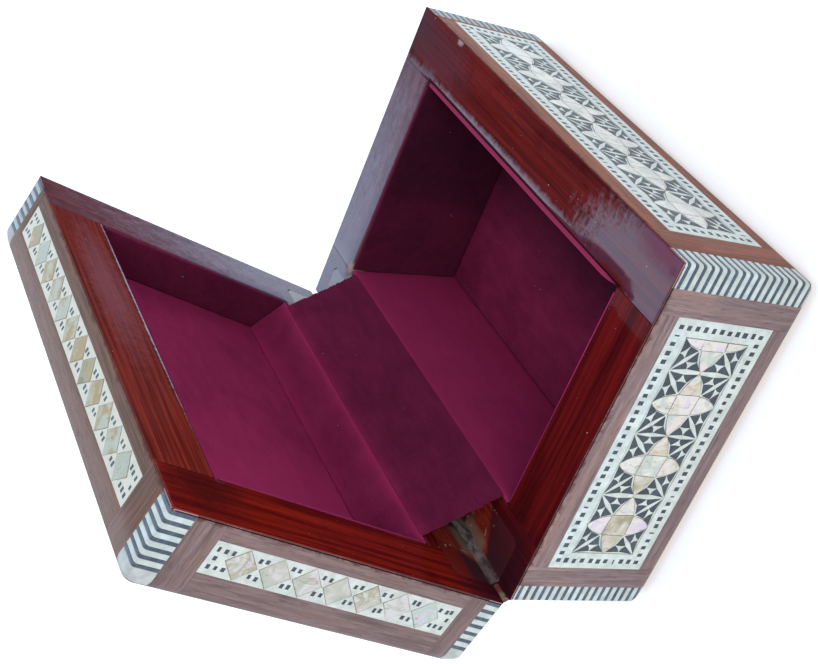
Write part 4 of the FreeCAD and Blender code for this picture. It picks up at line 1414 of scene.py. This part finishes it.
def stained_brass(name, outer):
    """Brass under red stain, rubbed bare and dirty grey along the knuckles: within about 1 mm of the pin.

    By the velvet strip's ends the stain is orange and chipped, green with age and with bits of pale glue.
    Further under the strip it is black with painted shadow. Past the stain's end it goes over to plum, a
    painted shade near the knuckles, and to the outer colour further out. Towards +X it is mauve under
    varnish, a painted reflection like the far rims'.
    """
    finish = Finish(name, {"IOR": 1.45, "Specular IOR Level": 0.3, "Coat Roughness": 0.10})
    where = finish.spot((1000.0, 1.25 * mm, 1.25 * mm), middle=tuple(pin_line))
    near = finish.node("VectorMath", {"operation": "LENGTH"}, {0: where}, output=1)
    wear = finish.noise((2.2, 0.9, 0.9), 4.0, 0.65, 0.4)
    grain = finish.noise((9, 0.6, 0.6), 4.0, 0.6, 0.3)
    bare = (near + (wear - 0.5) * 1.2).rise(1.05, 0.75)
    place = finish.along(0)
    ragged = place.math("ABSOLUTE") + (wear - 0.5) * 1.6
    painted_strip_shadow = ragged.rise(strip_reach - 5.0, strip_reach - 6.2)
    beyond_stain_end = (ragged + 0.7 * near).rise(*stain_end)
    patina = (near + (wear - 0.5) * 2.4).rise(2.8, 1.2) * ragged.rise(*patina_end)
    blob = finish.noise(0.8, 2.0, 0.5, 0.6).rise(0.66, 0.71) * ragged.rise(*glue_end)
    metal = finish.mixed(tint(88, 72, 72), tint(158, 144, 138), wear.rise(0.35, 0.65))
    # Past the stain's end: painted shade darkens the metal, and the leaf near the knuckles goes to a dark
    # plum painted shade.
    metal = finish.mixed(metal, tint(74, 48, 52), beyond_stain_end * 0.6)
    orange = (grain * 0.6 + wear * 0.4).rise(0.36, 0.64)
    coloured = finish.mixed(tint(110, 26, 20), tint(166, 58, 36), orange)
    past = finish.mixed(tint(50, 24, 34), outer, near.rise(2.6, 3.8))
    coloured = finish.mixed(coloured, past, beyond_stain_end * 0.92)
    coloured = finish.mixed(coloured, tint(134, 122, 108), patina * 0.75)
    # Painted shadow under the velvet strip.
    coloured = finish.mixed(coloured, tint(22, 14, 17), painted_strip_shadow * 0.9)
    coloured = finish.mixed(coloured, tint(180, 170, 150), blob * 0.75)
    # Towards +X the leaf is varnished, and its mauve colour is a painted reflection like the far rims'.
    varnish = place.rise(*varnish_start)
    coloured = finish.mixed(coloured, tint(88, 56, 72), varnish * 0.9)
    normal = finish.bump(wear + grain + blob, 0.03 * mm, 0.5)
    return finish.surface(Base_Color=finish.mixed(coloured, metal, bare), Metallic=bare * 0.2,
                          Roughness=0.42 + 0.2 * wear, Coat_Weight=varnish, Normal=normal)


def bare_steel(name):
    """Grey steel with fine scratches and rust freckles."""
    finish = Finish(name, {"IOR": 2.0})
    scratch = finish.noise((1.5, 0.08, 0.08), 2.0)
    rust = finish.noise(0.5, 4.0, 0.7).rise(0.58, 0.70)
    steel = finish.mixed(tint(66, 64, 64), tint(112, 110, 108), scratch)
    steel = finish.mixed(steel, tint(104, 58, 34), rust * 0.7)
    return finish.surface(Base_Color=steel, Metallic=0.95 - 0.7 * rust, Roughness=0.32 + 0.3 * rust)


hinge_finishes = {
    "hinge_base_leaf": stained_brass("stained_brass", tint(62, 20, 28)),
    "hinge_lid_leaf": stained_brass("lid_stained_brass", tint(104, 20, 16)),
    "hinge_pin": bare_steel("bare_steel"),
}
hinge_finishes["hinge_base_nails"] = hinge_finishes["hinge_pin"]
hinge_finishes["hinge_lid_nails"] = hinge_finishes["hinge_pin"]
for name, finish in hinge_finishes.items():
    node = frame["nodes"][name]
    node.data.materials.clear()
    node.data.materials.append(finish.material)


def filler():
    """A rod of filler past the hinge's end, just outside the pin's line, tied by a wedge to the base's back.

    The section is most of a circle, and a slope from it down to the back face.
    """
    turn = np.radians(np.linspace(-35, 200, 17))
    y = np.concatenate([[half_depth], pin_line[1] + filler_out + filler_radius * np.cos(turn)])
    z = np.concatenate([[base_rim - filler_depth], pin_line[2] - filler_low + filler_radius * np.sin(turn)])
    x = np.linspace(-filler_start, -half_length + filler_short, 15)
    thick = 1 - 0.10 * chance.random(len(x))
    grid_y = half_depth + (y[:, None] - half_depth) * thick
    grid_x, grid_z = np.broadcast_arrays(x[None], z[:, None])
    face = np.stack([grid_x, grid_y, grid_z], axis=-1)
    seat = np.clip(grid_z, base_rim - filler_depth, base_rim - rim_lip)
    back = np.stack([grid_x, np.full_like(grid_y, half_depth - filler_seat), seat], axis=-1)
    return slabs(face[None], back[None])


chips = [
    patch("base", -38.6, 27.3, (0.8, 0.7), tint(150, 124, 100), 0.8, 0.0, 0.3),
    patch("base", -37.2, 27.2, (0.8, 0.7), tint(132, 44, 38), 0.8, 0.0, 0.3),
]
filler_finish = stained("filler_stain", 0, 0.0, (tint(70, 48, 49), tint(122, 88, 82)), 0.05, chips)
show("base_hinge_filler", "base", *filler(), [filler_finish], "stained_wood")

# Velvet strip: a band of the same velvet, glued by its edges under the back cards of base and lid.
# It covers the hinge from inside and pulls tight when the lid is open.

strip_low, strip_high = shut_box("velvet_hinge_strip")
strip_trim = 1.0 * mm * x_axis
strip_low, strip_high = strip_low + strip_trim, strip_high - strip_trim
strip_cloth = 0.38 * mm
foot_line = np.array([0, inner_back - card, base_rim])
head_line = turned(np.array([0, inner_back - card, lid_rim]), -shut_turn)
span = head_line - foot_line
strip_length = np.linalg.norm(span)
strip_out = np.cross(x_axis, span) / strip_length
fray = 0.35 * mm
fray_run = 2 * mm
strip_light = 0.46
strip_fold_highlight = 0.45
x = np.linspace(strip_low[0], strip_high[0], 121)
t = np.linspace(0, 1, 49)
x, t = np.meshgrid(x, t)
ragged = chance.random((2, len(t))) * (0.4 + 0.6 * np.sin(math.pi * t[:, 0]))
ends = np.clip(1 - (strip_high[0] - np.abs(x)) / fray_run, 0, 1)
x = x - np.sign(x) * fray * ends * np.where(x < 0, ragged[:1].T, ragged[1:].T)
sag = np.sin(math.pi * t) * (0.10 + 0.05 * np.sin(x / (6.2 * mm)) + 0.03 * np.sin(x / (2.3 * mm) + 1)) * mm
middle = np.stack([x, foot_line[1] + t * span[1], foot_line[2] + t * span[2]], axis=-1)
face = middle - sag[..., None] * strip_out
back = face - strip_cloth * strip_out
spots, faces = slabs(face[None], back[None])
# Painted light on the strip, with a painted highlight along its fold at the lid.
strip_tone = strip_light + strip_fold_highlight * np.exp((t - 1) * strip_length / fold_width)
strip_tone = np.tile(strip_tone.ravel(), 2)
strip = show("hinge_velvet", None, spots, faces, [velvet_finish], "velvet", ["velvet_hinge_strip"],
             tone=strip_tone)
tuple(foot_line - 0.1 * span)
tuple(head_line + 0.1 * span)
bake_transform(strip)
strip_high[0] - strip_low[0]

# Stage: a floor of matt white paper, a wide soft light from the front left and a cool one from the right.
# Light from above and a pale sky fill the shadows. The camera looks down into the open box from the left.


def pale_floor(name):
    """Matt off-white paper with a faint tooth."""
    finish = Finish(name, {"IOR": 1.3, "Emission Color": (1.0, 1.0, 1.0, 1.0), "Emission Strength": 0.30})
    tooth = finish.noise(3, 3.0)
    paper = finish.mixed(tint(246, 247, 249), tint(252, 252, 253), tooth)
    return finish.surface(Base_Color=paper, Roughness=0.9 + 0.05 * tooth)


reach = np.linspace(-1.5, 1.5, 9)
x, y = np.meshgrid(reach, reach)
face = np.stack([x, y, np.zeros_like(x)], axis=-1)[None]
spots, faces = slabs(face, face - np.array([0, 0, 0.01]))
show("floor", None, spots, faces, [pale_floor("floor_paper")], None)

world = bpy.data.worlds.new("soft_daylight")
world.use_nodes = True
world.node_tree.nodes["Background"].inputs["Color"].default_value = (0.74, 0.86, 1.0, 1.0)
world.node_tree.nodes["Background"].inputs["Strength"].default_value = 0.62
bpy.context.scene.world = world


def soft_light(name, spot, size, power, colour):
    """A square soft light that points at the middle of the box."""
    light = bpy.data.lights.new(name, "AREA")
    light.size = size
    light.energy = power
    light.color = colour
    lamp = bpy.data.objects.new(name, light)
    aim = Vector((0, 0.01, 0.02)) - Vector(spot)
    lamp.matrix_world = Matrix.Translation(spot) @ aim.to_track_quat("-Z", "Y").to_matrix().to_4x4()
    bpy.context.scene.collection.objects.link(lamp)


soft_light("key_light", (-1.0, -0.35, 0.62), 0.8, 7.0, (0.98, 1.0, 1.0))
soft_light("window_light", (0.93, 0.41, 0.64), 0.8, 3.9, (0.58, 0.76, 1.0))
soft_light("sky_light", (0.1, 0.1, 1.2), 1.0, 6.0, (0.90, 0.95, 1.0))

camera = bpy.data.objects.new("camera", bpy.data.cameras.new("camera"))
camera.data.lens = 63.768
camera.data.sensor_width = 36.0
camera.data.sensor_fit = "HORIZONTAL"
camera.data.clip_start = 0.01
camera_spot = Vector((-161.0709, -83.2990, 139.3330)) * mm
right = Vector((-0.37765584, -0.35747699, -0.85415822))
down = Vector((-0.55114035, 0.82804726, -0.10286908))
ahead = Vector((0.74405671, 0.43191195, -0.50973688))
turn = Matrix((right, -down, -ahead)).transposed().to_4x4()
camera.matrix_world = Matrix.Translation(camera_spot) @ turn
bpy.context.scene.collection.objects.link(camera)
bpy.context.scene.camera = camera
bpy.context.scene.view_settings.view_transform = "Standard"
